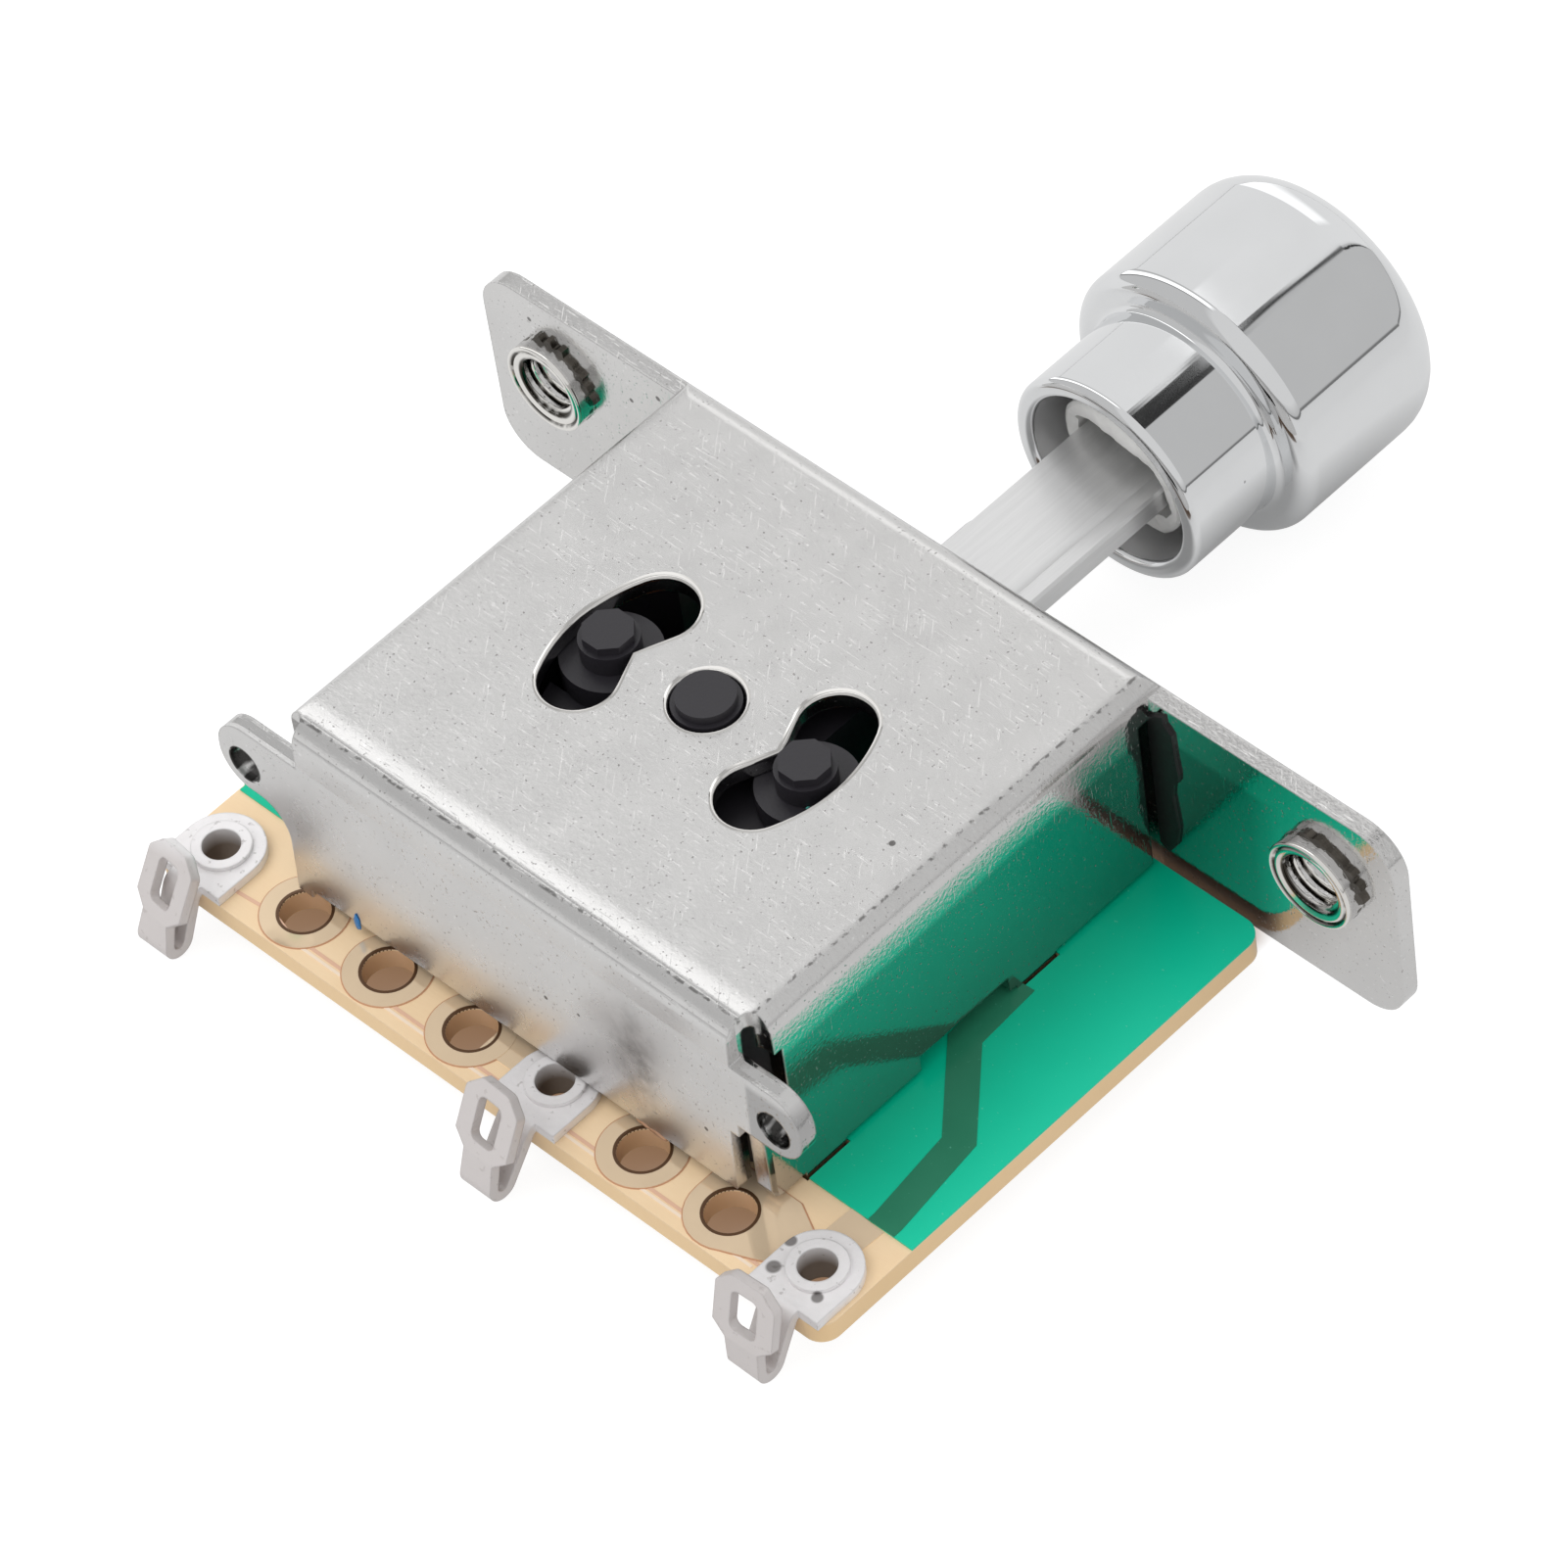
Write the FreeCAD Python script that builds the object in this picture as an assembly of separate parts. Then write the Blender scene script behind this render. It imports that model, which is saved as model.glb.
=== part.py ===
import FreeCAD, Part
import math
import os

# A box-type pickup selector switch for an electric guitar, in millimetres.
# It lies as on a table, on the lever's tip and the bends of its solder lugs. The lugs' bends are set a
# little above the tip's lowest point, as bent lugs differ, so it really rests tilted by half a degree.
# The pieces are drawn with Z = 0 on the table, Y = 0 on the plate's inner face and X = 0 at the
# lever's pivot. The lever points along +Y, through the plate, and stands in its middle position.
# They are then set in the switch's own frame, whose origin lies midway between the two mounting
# holes, on the plate's outer face.

V = FreeCAD.Vector
X_AXIS = V(1, 0, 0)
Y_AXIS = V(0, 1, 0)
Z_AXIS = V(0, 0, 1)
BEYOND = 1.0

# Sheet metal box of the cover
sheet = 0.8
bend_inner = 0.2
box_width = 25.4
box_depth = 22.3
box_height = 10.2

# Mounting plate, folded from the same sheet
mount_spacing = 41.3
plate_end = 3.85
plate_corner = 1.9
plate_shift = 0.6
plate_drop = 0.7
mount_rise = 6.2
tap_bore = 2.9
collar_wall = 0.6
collar_height = 0.65

# Lever travel and the slots in the cover's top
throw_deg = 22.0
pivot_hole = 3.15
pivot_play = 0.15
post_ring = 5.28
post_dia = 2.2
post_step = 0.15
post_tip = 0.4
post_proud = 0.5
slot_play = 0.4
slot_over_deg = 3.5
slot_bump = 0.35
boss_lap = 0.45
boss_height = 1.1

# Front wall, which springs forward at its foot, its open right corner and its two ground ears
front_lean_deg = 2.8
corner_slot = 0.45
corner_slot_drop = 0.65
corner_slit = 0.2
side_wall_back = 0.2
toe_round = 0.6
doorway_back = 1.8
notch_in_right = 0.95
notch_back_right = 1.4
notch_in_left = 1.0
notch_back_left = 0.9
notch_round = 0.5
ear_width = 3.3
ear_round = 1.55
ear_rise = 6.3
ear_lift_right = 0.15
ear_hole = 1.65
ear_hole_out_left = 2.2
ear_hole_out_right = 2.45
ear_hole_drop = 0.35
ear_end_left = 1.4
ear_end_right = 1.5
ear_fillet = 1.6

# Feet of the side walls, which pass through the board
foot_width = 2.2
foot_below = 0.7
front_foot_in = 3.1
rear_foot_in = 7.4
arch_width = 5.0
arch_height = 0.8
arch_in = 11.4
plate_gap = 0.7

# Circuit board
board_width = 36.7
board_apron = 3.0
board_rear_gap = 0.35
board_thickness = 1.05
board_level = 1.5
board_shift = -0.15
board_corner = 0.9
hole_count = 8
hole_dia = 2.1
hole_margin = 1.97
hole_setback = 1.95
bare_strip = 5.0
foil = 0.08
track_width = 3.2
track_gap = 2.4

# Solder lugs and the eyelets that rivet them down
lug_sheet = 0.45
lug_names = ("left", "middle", "right")
lug_positions = (0, 4, 7)
lug_lean_deg = (21.0, 17.0, 3.0)
lug_twist_deg = (-10.0, -4.0, 3.0)
lug_reach = (1.6, 2.05, 1.7)
lug_lift = (0.3, 0.5, 0.5)
lug_pad_dia = 3.6
lug_strip_width = 1.65
lug_eye_width = 2.95
lug_neck = (1.0, 1.2, 1.2)
lug_neck_bend_deg = 11.0
lug_shoulder = 0.55
lug_window_width = 1.3
lug_window_height = 1.95
lug_crown = 0.7
lug_crown_flat = 1.5
lug_corner = 0.65
lug_bend = 0.5
lug_edge_bend = 0.2
eyelet_play = 0.075
eyelet_wall = 0.175
eyelet_flare = 0.275
eyelet_foot_flare = 0.425
eyelet_lip = 0.18

# Rotor, a black moulding that carries the lever
journal_dia = 3.0
washer_thickness = 0.4
washer_inset = 0.8
rotor_floor = 0.6
nose_face = 2.0
notch_depth = 0.45
notch_half = 0.85
arm_wall = 1.1
arm_gap = 1.3

# Lever blade and its rivet
blade_width = 5.0
blade_thickness = 1.2
blade_edge = 0.3
blade_tail = 2.6
rivet_dia = 1.6
rivet_head = 2.6
rivet_head_height = 0.45

# Tip of the lever, a bright cap round a plastic socket
tip_stand_off = 10.7
tip_collar_length = 5.0
tip_head_length = 8.7
tip_wall = 0.85
tip_step = 1.45
tip_end_wall = 2.9
tip_end_radius = 2.0
tip_lip_radius = 0.7
tip_rim_radius = 0.25
chords_per_mm = 2.2
socket_wall = 0.8
socket_gap = 0.75
socket_setback = 1.4
socket_plug = 4.0
socket_mouth = 0.2
socket_mouth_depth = 1.2
socket_floor = 2.0

# Carrier, the black moulding that surrounds the rotor, and the detent spring in its pocket
carrier_wall = 1.2
carrier_corner = 1.4
spring_room = 1.4
spring_thickness = 0.25
spring_width = 3.0
spring_span = 11.0
spring_fold = 1.2
spring_ramp = 0.6
spring_rise = 0.9

# Wipers, one under each post
wiper_thickness = 0.2
wiper_width = 2.4
wiper_length = 3.4
wiper_finger = 0.8
wiper_toe = 1.0
wiper_pin = 1.2
wiper_pin_length = 1.5
wiper_head_flare = 0.35
wiper_head_height = 0.2

# Clearances
running = 0.05
slip = 0.1
wall_gap = 0.25
lip_gap = 0.12
cavity_clearance = 0.5
swing_room = 0.6

# Levels, from the table upward
board_top = board_level + board_thickness
mask_top = board_top + foil
side_foot_level = mask_top + wall_gap
front_foot_level = board_top + lug_sheet + eyelet_lip + lip_gap
cover_top = board_top + box_height
cover_under = cover_top - sheet
plate_bottom = board_top - plate_drop
plate_top = cover_top - plate_drop
mount_level = plate_bottom + mount_rise
ear_low_left = board_top + ear_rise - ear_width / 2
ear_low_right = ear_low_left + ear_lift_right
post_top = cover_top + post_proud
rotor_bottom = mask_top + washer_thickness + running
rotor_top = cover_under - running
body_bottom = rotor_bottom + rotor_floor
body_top = rotor_top - boss_height
body_middle = (body_bottom + body_top) / 2

# Places in plan
pivot_back = box_depth / 2
pivot = V(0, -pivot_back, 0)
mount_centre = V(plate_shift, sheet, mount_level)
half_box = box_width / 2
wall_inner = half_box - sheet
front_inner = -box_depth + sheet
bend_outer = bend_inner + sheet
front_wall_left = -half_box
front_wall_right = wall_inner - corner_slot
half_board = board_width / 2
board_front = -(box_depth + board_apron)
hole_row = board_front + hole_setback
hole_pitch = (board_width - 2 * hole_margin) / (hole_count - 1)
barrel_dia = hole_dia - 2 * eyelet_play
foot_rows = (-box_depth + front_foot_in, -rear_foot_in)

# Rotor and the pieces round it
post_root = post_dia + 2 * post_step
slot_width = post_root + 2 * slot_play
boss_dia = slot_width + 2 * boss_lap
hub_dia = 2 * (post_ring - wiper_width / 2 - slip)
arm_width = blade_width + 2 * arm_wall
arm_length = pivot_back - arm_gap
rivet_out = (hub_dia / 2 + arm_length) / 2
spring_back = front_inner + slip + carrier_wall
nose_radius = -pivot_back - spring_back - spring_room - cavity_clearance
cavity_radius = max(nose_radius, post_ring + boss_dia / 2) + cavity_clearance
track_inner = post_ring - track_width / 2
track_outer = post_ring + track_width / 2

# Tip
socket_dia = blade_width + 2 * socket_wall
tip_bore = socket_dia + 2 * socket_gap
tip_collar_dia = tip_bore + 2 * tip_wall
tip_dia = tip_collar_dia + 2 * tip_step
tip_axis = tip_dia / 2
tip_shoulder = tip_stand_off + tip_collar_length
tip_end = tip_shoulder + tip_head_length
tip_floor = tip_end - tip_end_wall
blade_end = tip_floor - socket_floor


def box(x0, x1, y0, y1, z0, z1):
    return Part.makeBox(x1 - x0, y1 - y0, z1 - z0, V(x0, y0, z0))


def rod(dia, z0, z1, x=0.0, y=0.0):
    """Upright cylinder from level z0 to level z1."""
    return Part.makeCylinder(dia / 2, z1 - z0, V(x, y, z0), Z_AXIS)


def peg(dia, y0, y1, x, z):
    """Cylinder that lies along Y."""
    return Part.makeCylinder(dia / 2, y1 - y0, V(x, y0, z), Y_AXIS)


def fused(shapes):
    return shapes[0].multiFuse(shapes[1:]).removeSplitter()


def about_pivot(shape, degrees):
    copy = shape.copy()
    copy.rotate(pivot, Z_AXIS, degrees)
    return copy


def edges_where(shape, test):
    return [edge for edge in shape.Edges if test(edge.BoundBox)]


def edges_along(shape, axis):
    return [e for e in shape.Edges if abs(e.tangentAt(e.FirstParameter).dot(axis)) > 0.99]


def rounded_plate(x0, x1, z0, z1, y0, y1, radius):
    """Upright plate, thin along Y, with four round corners."""
    plate = box(x0, x1, y0, y1, z0, z1)
    return plate.makeFillet(radius, edges_along(plate, Y_AXIS))


def prism(points, direction):
    wire = Part.makePolygon(points + [points[0]])
    return Part.Face(wire).extrude(direction)


def front_face(z):
    """Place along Y of the front wall's outer face at a level."""
    return -box_depth - (cover_top - z) * math.tan(math.radians(front_lean_deg))


def leaning_block(x0, x1, setback, y1, z0, z1):
    """Box whose front face leans with the front wall, set back from it."""
    low = front_face(z0) + setback
    high = front_face(z1) + setback
    return prism([V(x0, low, z0), V(x0, y1, z0), V(x0, y1, z1), V(x0, high, z1)], V(x1 - x0, 0, 0))


def front_strip(x0, x1, z0, z1):
    """Stretch of sheet in the plane of the front wall."""
    far = front_inner + BEYOND
    return leaning_block(x0, x1, 0, far, z0, z1).cut(leaning_block(x0, x1, sheet, far, z0, z1))


def folded_cap():
    """Top, front wall and side walls of the cover, with the plate's middle as the back wall."""
    outer = leaning_block(-half_box, half_box, 0, sheet, plate_bottom, cover_top)
    outer = outer.makeFillet(bend_outer, edges_where(outer, lambda b: b.ZMin > cover_top - slip))
    deep = plate_bottom - BEYOND
    inner = leaning_block(-wall_inner, wall_inner, sheet, 0, deep, cover_under)
    inner = inner.makeFillet(bend_inner, edges_where(inner, lambda b: b.ZMin > cover_under - slip))
    wide = half_box + BEYOND
    below = box(-wide, wide, -box_depth - BEYOND, 0, deep, side_foot_level)
    front = box(-wall_inner, wall_inner, -box_depth - BEYOND, front_inner + BEYOND, deep, front_foot_level)
    return outer.cut(inner).cut(below).cut(front)


def corner_notch(side, inward, back):
    """Bite out of a front corner, from the ear's upper edge through the bends of the top."""
    low, high = sorted((side * (half_box - inward), side * (half_box + BEYOND)))
    floor = ear_low(side) + ear_width
    bite = box(low, high, -box_depth - BEYOND, -box_depth + back, floor, cover_top + BEYOND)
    inner_edge = [e for e in edges_along(bite, Z_AXIS) if abs(e.CenterOfMass.x) < half_box
                  and e.CenterOfMass.y > -box_depth]
    return bite.makeFillet(notch_round, inner_edge)


def right_toe_cut():
    """Takes the lower front corner of the right wall off, leaving it round."""
    y = -box_depth + side_wall_back
    z = side_foot_level
    far = half_box + BEYOND
    corner = box(wall_inner, far, y - BEYOND, y + toe_round, z - BEYOND, z + toe_round)
    centre = V(wall_inner - BEYOND, y + toe_round, z + toe_round)
    return corner.cut(Part.makeCylinder(toe_round, far, centre, X_AXIS))


def right_corner_cuts():
    """Slot between front wall and right wall, the way out for the ear, and the notch above."""
    far = half_box + BEYOND
    ahead = -box_depth - BEYOND
    deep = plate_bottom - BEYOND
    ear_floor = ear_low_right - corner_slit
    slot_top = ear_low_right - corner_slot_drop
    slot = box(front_wall_right, wall_inner, ahead, front_inner + corner_slit, deep, slot_top)
    doorway = box(wall_inner, far, ahead, -box_depth + doorway_back, ear_floor, ear_low_right + ear_width)
    trim = box(wall_inner, far, ahead, -box_depth + side_wall_back, deep, ear_floor)
    return [slot, doorway, trim, right_toe_cut(), corner_notch(1, notch_in_right, notch_back_right)]


def left_corner_cuts():
    """Thin slit where the left wall ends behind the front wall, and the notch above."""
    slit = leaning_block(-half_box - BEYOND, -wall_inner, sheet, front_inner + corner_slit,
                         plate_bottom - BEYOND, ear_low_left + ear_width)
    return [slit, corner_notch(-1, notch_in_left, notch_back_left)]


def plate_gaps():
    """Notches that free the side walls from the mounting plate."""
    top = cover_top - bend_outer - sheet
    bottom = plate_bottom - BEYOND
    left = box(-half_box - BEYOND, -wall_inner, -plate_gap, 0, bottom, top)
    right = box(wall_inner, half_box + BEYOND, -plate_gap, 0, bottom, top)
    return [left, right]


def track_arch():
    """Raised stretch of the right wall's foot, over a track of the board."""
    middle = -arch_in
    return box(wall_inner - BEYOND, half_box + BEYOND, middle - arch_width / 2, middle + arch_width / 2,
               plate_bottom, side_foot_level + arch_height)


def kidney_slot(side):
    """Curved slot for one post of the rotor, with a slight bump on its inner edge."""
    inner = post_ring - slot_width / 2
    outer = post_ring + slot_width / 2
    reach = throw_deg + slot_over_deg
    middle = math.radians(90 - 90 * side)
    low = middle - math.radians(reach)
    high = middle + math.radians(reach)

    def at(radius, angle):
        return pivot + V(radius * math.cos(angle), radius * math.sin(angle), cover_under - BEYOND)

    def end(angle, outward):
        away = V(-math.sin(angle), math.cos(angle), 0) * (outward * slot_width / 2)
        return at(post_ring, angle) + away

    bump = at(inner + slot_bump, middle)
    wire = Part.Wire([
        Part.Arc(at(outer, low), at(outer, middle), at(outer, high)).toShape(),
        Part.Arc(at(outer, high), end(high, 1), at(inner, high)).toShape(),
        Part.LineSegment(at(inner, high), bump).toShape(),
        Part.LineSegment(bump, at(inner, low)).toShape(),
        Part.Arc(at(inner, low), end(low, -1), at(outer, low)).toShape(),
    ])
    return Part.Face(wire).extrude(V(0, 0, sheet + 2 * BEYOND))


def ear_low(side):
    return ear_low_right if side > 0 else ear_low_left


def ear_hole_x(side):
    return front_wall_right + ear_hole_out_right if side > 0 else front_wall_left - ear_hole_out_left


def ear(side):
    """Ground ear that stands out sideways from the front wall, round at its tip."""
    root = front_wall_right if side > 0 else front_wall_left
    end = ear_end_right if side > 0 else ear_end_left
    inside = root - side * ear_round
    tip = ear_hole_x(side) + side * end
    low, high = sorted((inside, tip))
    plate = front_strip(low, high, ear_low(side), ear_low(side) + ear_width)
    corners = [e for e in edges_along(plate, Y_AXIS) if abs(e.CenterOfMass.x - tip) < slip]
    return plate.makeFillet(ear_round, corners)


def ear_root_web():
    """Sheet left under the left ear, where its lower edge sweeps down into the wall."""
    edge = front_wall_left
    low = ear_low_left - ear_fillet
    web = front_strip(edge - ear_fillet, edge + BEYOND, low, ear_low_left)
    return web.cut(peg(2 * ear_fillet, -box_depth - BEYOND, 0, edge - ear_fillet, low))


def ear_bore(side):
    level = ear_low(side) + ear_width / 2 - ear_hole_drop
    return peg(ear_hole, -box_depth - BEYOND, front_inner + BEYOND, ear_hole_x(side), level)


def mount_x(side):
    return plate_shift + side * mount_spacing / 2


def tapped_collar(side):
    """Collar drawn out of the plate round a tapped mounting hole."""
    return peg(tap_bore + 2 * collar_wall, -collar_height, 0, mount_x(side), mount_level)


def tapped_bore(side):
    return peg(tap_bore, -collar_height - BEYOND, sheet + BEYOND, mount_x(side), mount_level)


def lever_slot():
    """Opening in the plate that the blade sweeps through, from one end of its travel to the other."""
    swing = math.radians(throw_deg)
    reach = (pivot_back + sheet) * math.tan(swing) + blade_width / 2 / math.cos(swing) + swing_room
    half = blade_thickness / 2 + swing_room
    low, high = tip_axis - half, tip_axis + half
    return rounded_plate(-reach, reach, low, high, -BEYOND, sheet + BEYOND, half - slip)


def side_foot(side, y):
    """Tab of a side wall that passes through the board."""
    low, high = sorted((side * half_box, side * wall_inner))
    return box(low, high, y - foot_width / 2, y + foot_width / 2, board_level - foot_below,
               side_foot_level + wall_gap)


def make_cover():
    """One folded sheet: box, mounting plate with tapped collars, ears, slots and feet."""
    half_plate = mount_spacing / 2 + plate_end
    wings = rounded_plate(plate_shift - half_plate, plate_shift + half_plate, plate_bottom, plate_top,
                          0, sheet, plate_corner)
    cap = folded_cap()
    for cut in right_corner_cuts() + left_corner_cuts() + plate_gaps() + [track_arch()]:
        cap = cap.cut(cut)
    feet = [side_foot(side, y) for side in (-1, 1) for y in foot_rows]
    ears = [ear(-1), ear(1), ear_root_web()]
    collars = [tapped_collar(-1), tapped_collar(1)]
    cover = fused([cap, wings] + feet + ears + collars)
    cover = cover.cut(lever_slot())
    cover = cover.cut(rod(pivot_hole, cover_under - BEYOND, cover_top + BEYOND, pivot.x, pivot.y))
    for side in (-1, 1):
        for cut in (kidney_slot(side), ear_bore(side), tapped_bore(side)):
            cover = cover.cut(cut)
    return cover


def hole_x(index):
    return board_shift + (index - (hole_count - 1) / 2) * hole_pitch


def board_openings(z0, z1):
    """Row of solder holes, the pivot hole and the slots for the cover's feet."""
    cuts = [rod(hole_dia, z0, z1, hole_x(i), hole_row) for i in range(hole_count)]
    cuts.append(rod(journal_dia + 2 * running, z0, z1, pivot.x, pivot.y))
    half_x = sheet / 2 + slip
    half_y = foot_width / 2 + slip
    for side in (-1, 1):
        x = side * (half_box - sheet / 2)
        for y in foot_rows:
            cuts.append(box(x - half_x, x + half_x, y - half_y, y + half_y, z0, z1))
    return cuts


def make_board():
    board = box(board_shift - half_board, board_shift + half_board, board_front, -board_rear_gap,
                board_level, board_top)
    board = board.makeFillet(board_corner, edges_along(board, Z_AXIS))
    for cut in board_openings(board_level - BEYOND, board_top + BEYOND):
        board = board.cut(cut)
    return board


def make_contact_tracks():
    """Bare copper arcs on the board, one under each wiper."""
    ring = rod(2 * track_outer, board_top, mask_top, pivot.x, pivot.y)
    ring = ring.cut(rod(2 * track_inner, board_level, cover_top, pivot.x, pivot.y))
    far = track_outer + BEYOND
    return ring.cut(box(-track_gap / 2, track_gap / 2, pivot.y - far, pivot.y + far, board_level, cover_top))


def make_solder_mask():
    """Green lacquer over the copper on the rear part of the board."""
    mask = box(board_shift - half_board, board_shift + half_board, board_front + bare_strip, -board_rear_gap,
               board_top, mask_top)
    rear = [e for e in edges_along(mask, Z_AXIS) if e.CenterOfMass.y > -board_rear_gap - slip]
    mask = mask.makeFillet(board_corner, rear)
    mask = mask.cut(rod(2 * (track_outer + slip), board_level, cover_top, pivot.x, pivot.y))
    for cut in board_openings(board_level, cover_top):
        mask = mask.cut(cut)
    return mask


def arc_strip(centre, radius, start_deg, end_deg):
    """Bent part of a lug: a ring sector in the YZ plane, as wide as the strip along X."""
    first, last = math.radians(start_deg), math.radians(end_deg)
    middle = (first + last) / 2

    def at(r, angle):
        return V(-lug_strip_width / 2, centre.y + r * math.cos(angle), centre.z + r * math.sin(angle))

    near, far = radius - lug_sheet / 2, radius + lug_sheet / 2
    wire = Part.Wire([
        Part.Arc(at(near, first), at(near, middle), at(near, last)).toShape(),
        Part.LineSegment(at(near, last), at(far, last)).toShape(),
        Part.Arc(at(far, last), at(far, middle), at(far, first)).toShape(),
        Part.LineSegment(at(far, first), at(near, first)).toShape(),
    ])
    return Part.Face(wire).extrude(V(lug_strip_width, 0, 0))


def straight_strip(start, end, thickness, width):
    """Flat strip between two points of the YZ plane."""
    along = (end - start).normalize()
    across = V(0, -along.z, along.y) * (thickness / 2)
    side = V(-width / 2, 0, 0)
    corners = [start + side + across, end + side + across, end + side - across, start + side - across]
    return prism(corners, V(width, 0, 0))


def strip_section():
    """Cross-section of a lug's upright strip."""
    half = lug_strip_width / 2
    thick = lug_sheet / 2
    corners = [V(-half, -thick, 0), V(half, -thick, 0), V(half, thick, 0), V(-half, thick, 0)]
    return Part.makePolygon(corners + [corners[0]])


def onto_neck(shape, neck_length, twist_deg):
    """Sets a shape that stands on Z = 0 on top of the neck, twisted and bent back."""
    shape.rotate(V(0, 0, 0), Z_AXIS, twist_deg)
    shape.rotate(V(0, 0, 0), X_AXIS, -lug_neck_bend_deg)
    shape.translate(V(0, 0, neck_length))
    return shape


def eye_ring():
    """Ring with an oblong window, standing on Z = 0."""
    neck = lug_strip_width / 2
    eye = lug_eye_width / 2
    sill = lug_shoulder
    top = sill + lug_window_height + lug_crown
    crown = lug_crown_flat / 2
    points = [(-neck, 0), (neck, 0), (eye, sill), (eye, top - lug_corner), (crown, top), (-crown, top),
              (-eye, top - lug_corner), (-eye, sill)]
    ring = prism([V(x, -lug_sheet / 2, z) for x, z in points], V(0, lug_sheet, 0))
    upper = [e for e in edges_along(ring, Y_AXIS) if e.CenterOfMass.z > top - lug_corner - slip]
    ring = ring.makeFillet(lug_corner / 2, upper)
    half = lug_window_width / 2
    window = rounded_plate(-half, half, sill, sill + lug_window_height, -lug_sheet, lug_sheet, half / 2)
    return ring.cut(window)


def eye_plate(lean_deg, twist_deg, neck_length):
    """Upper part of a lug, standing on Z = 0 and leaning back: a twisted neck under the ring."""
    neck_top = onto_neck(strip_section(), neck_length, twist_deg)
    stem = Part.makeLoft([strip_section(), neck_top], True, True)
    plate = fused([stem, onto_neck(eye_ring(), neck_length, twist_deg)])
    plate.rotate(V(0, 0, 0), X_AXIS, -lean_deg)
    return plate


def make_lug(x, lean_deg, twist_deg, reach, lift, neck_length):
    """Solder lug: a pad riveted to the board, a knee over the edge, a U-turn and a ring."""
    knee_radius = lug_edge_bend + lug_sheet / 2
    knee = V(0, board_front, board_top - lug_edge_bend)
    turn = V(0, board_front - reach, lift + lug_bend + lug_sheet / 2)
    across = turn - knee
    bearing = math.degrees(math.atan2(across.z, across.y)) + 360
    leaving = bearing - math.degrees(math.acos((knee_radius + lug_bend) / across.Length))
    off = V(0, math.cos(math.radians(leaving)), math.sin(math.radians(leaving)))
    lean = math.radians(lean_deg)
    eye = eye_plate(lean_deg, twist_deg, neck_length)
    eye.translate(turn + V(0, -lug_bend * math.cos(lean), lug_bend * math.sin(lean)))
    half_pad = lug_pad_dia / 2
    lug = fused([
        rod(lug_pad_dia, board_top, board_top + lug_sheet, 0, hole_row),
        box(-half_pad, half_pad, board_front, hole_row, board_top, board_top + lug_sheet),
        arc_strip(knee, knee_radius, 90, leaving),
        straight_strip(knee + off * knee_radius, turn - off * lug_bend, lug_sheet, lug_strip_width),
        arc_strip(turn, lug_bend, 180 - lean_deg, leaving + 180),
        eye,
    ])
    lug = lug.cut(rod(barrel_dia, board_level, cover_top, 0, hole_row))
    lug.translate(V(x, 0, 0))
    return lug


def make_eyelet(x):
    """Tubular rivet: a barrel through lug and board with a lip at each end."""
    top = board_top + lug_sheet
    body = rod(barrel_dia, board_level, top, x, hole_row)
    upper = rod(barrel_dia + 2 * eyelet_flare, top, top + eyelet_lip, x, hole_row)
    lower = rod(barrel_dia + 2 * eyelet_foot_flare, board_level - eyelet_lip, board_level, x, hole_row)
    eyelet = fused([body, upper, lower])
    return eyelet.cut(rod(barrel_dia - 2 * eyelet_wall, 0, cover_top, x, hole_row))


def octagon(dia, x, z0, z1):
    """Eight-sided head of a post."""
    points = []
    for i in range(8):
        angle = math.radians(22.5 + 45 * i)
        points.append(V(x + dia / 2 * math.cos(angle), pivot.y + dia / 2 * math.sin(angle), z0))
    return prism(points, V(0, 0, z1 - z0))


def rotor_nose():
    """Front sector of the rotor with one notch for each position of the lever."""
    nose = rod(2 * nose_radius, body_bottom, body_top, pivot.x, pivot.y)
    face = pivot.y - nose_face
    nose = nose.common(box(-nose_radius, nose_radius, pivot.y - nose_radius, face, body_bottom, body_top))
    rim = pivot.y - nose_radius
    notch = prism([V(-notch_half, rim - slip, 0), V(notch_half, rim - slip, 0), V(0, rim + notch_depth, 0)],
                  V(0, 0, cover_top))
    for degrees in (-throw_deg, 0, throw_deg):
        nose = nose.cut(about_pivot(notch, degrees))
    return nose


def rivet_hole():
    return rod(rivet_dia, body_bottom - BEYOND, body_top + BEYOND, 0, pivot.y + rivet_out)


def blade_channel():
    """Space for the blade in the rotor's arm, open at the arm's end."""
    half_w = blade_width / 2 + running
    half_t = blade_thickness / 2 + running
    return box(-half_w, half_w, pivot.y + blade_tail - running, 0, tip_axis - half_t, tip_axis + half_t)


def side_post(side):
    """Disc under the cover's slot, with a stepped post and its eight-sided head."""
    x = side * post_ring
    neck = post_top - post_tip
    return [rod(boss_dia, body_bottom, rotor_top, x, pivot.y), rod(post_root, rotor_top, neck, x, pivot.y),
            octagon(post_dia, x, neck, post_top)]


def centre_post():
    shoulder = pivot_hole - 2 * pivot_play
    neck = post_top - post_tip
    return [rod(shoulder, body_top, neck, 0, pivot.y), rod(shoulder - post_tip, neck, post_top, 0, pivot.y)]


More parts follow.
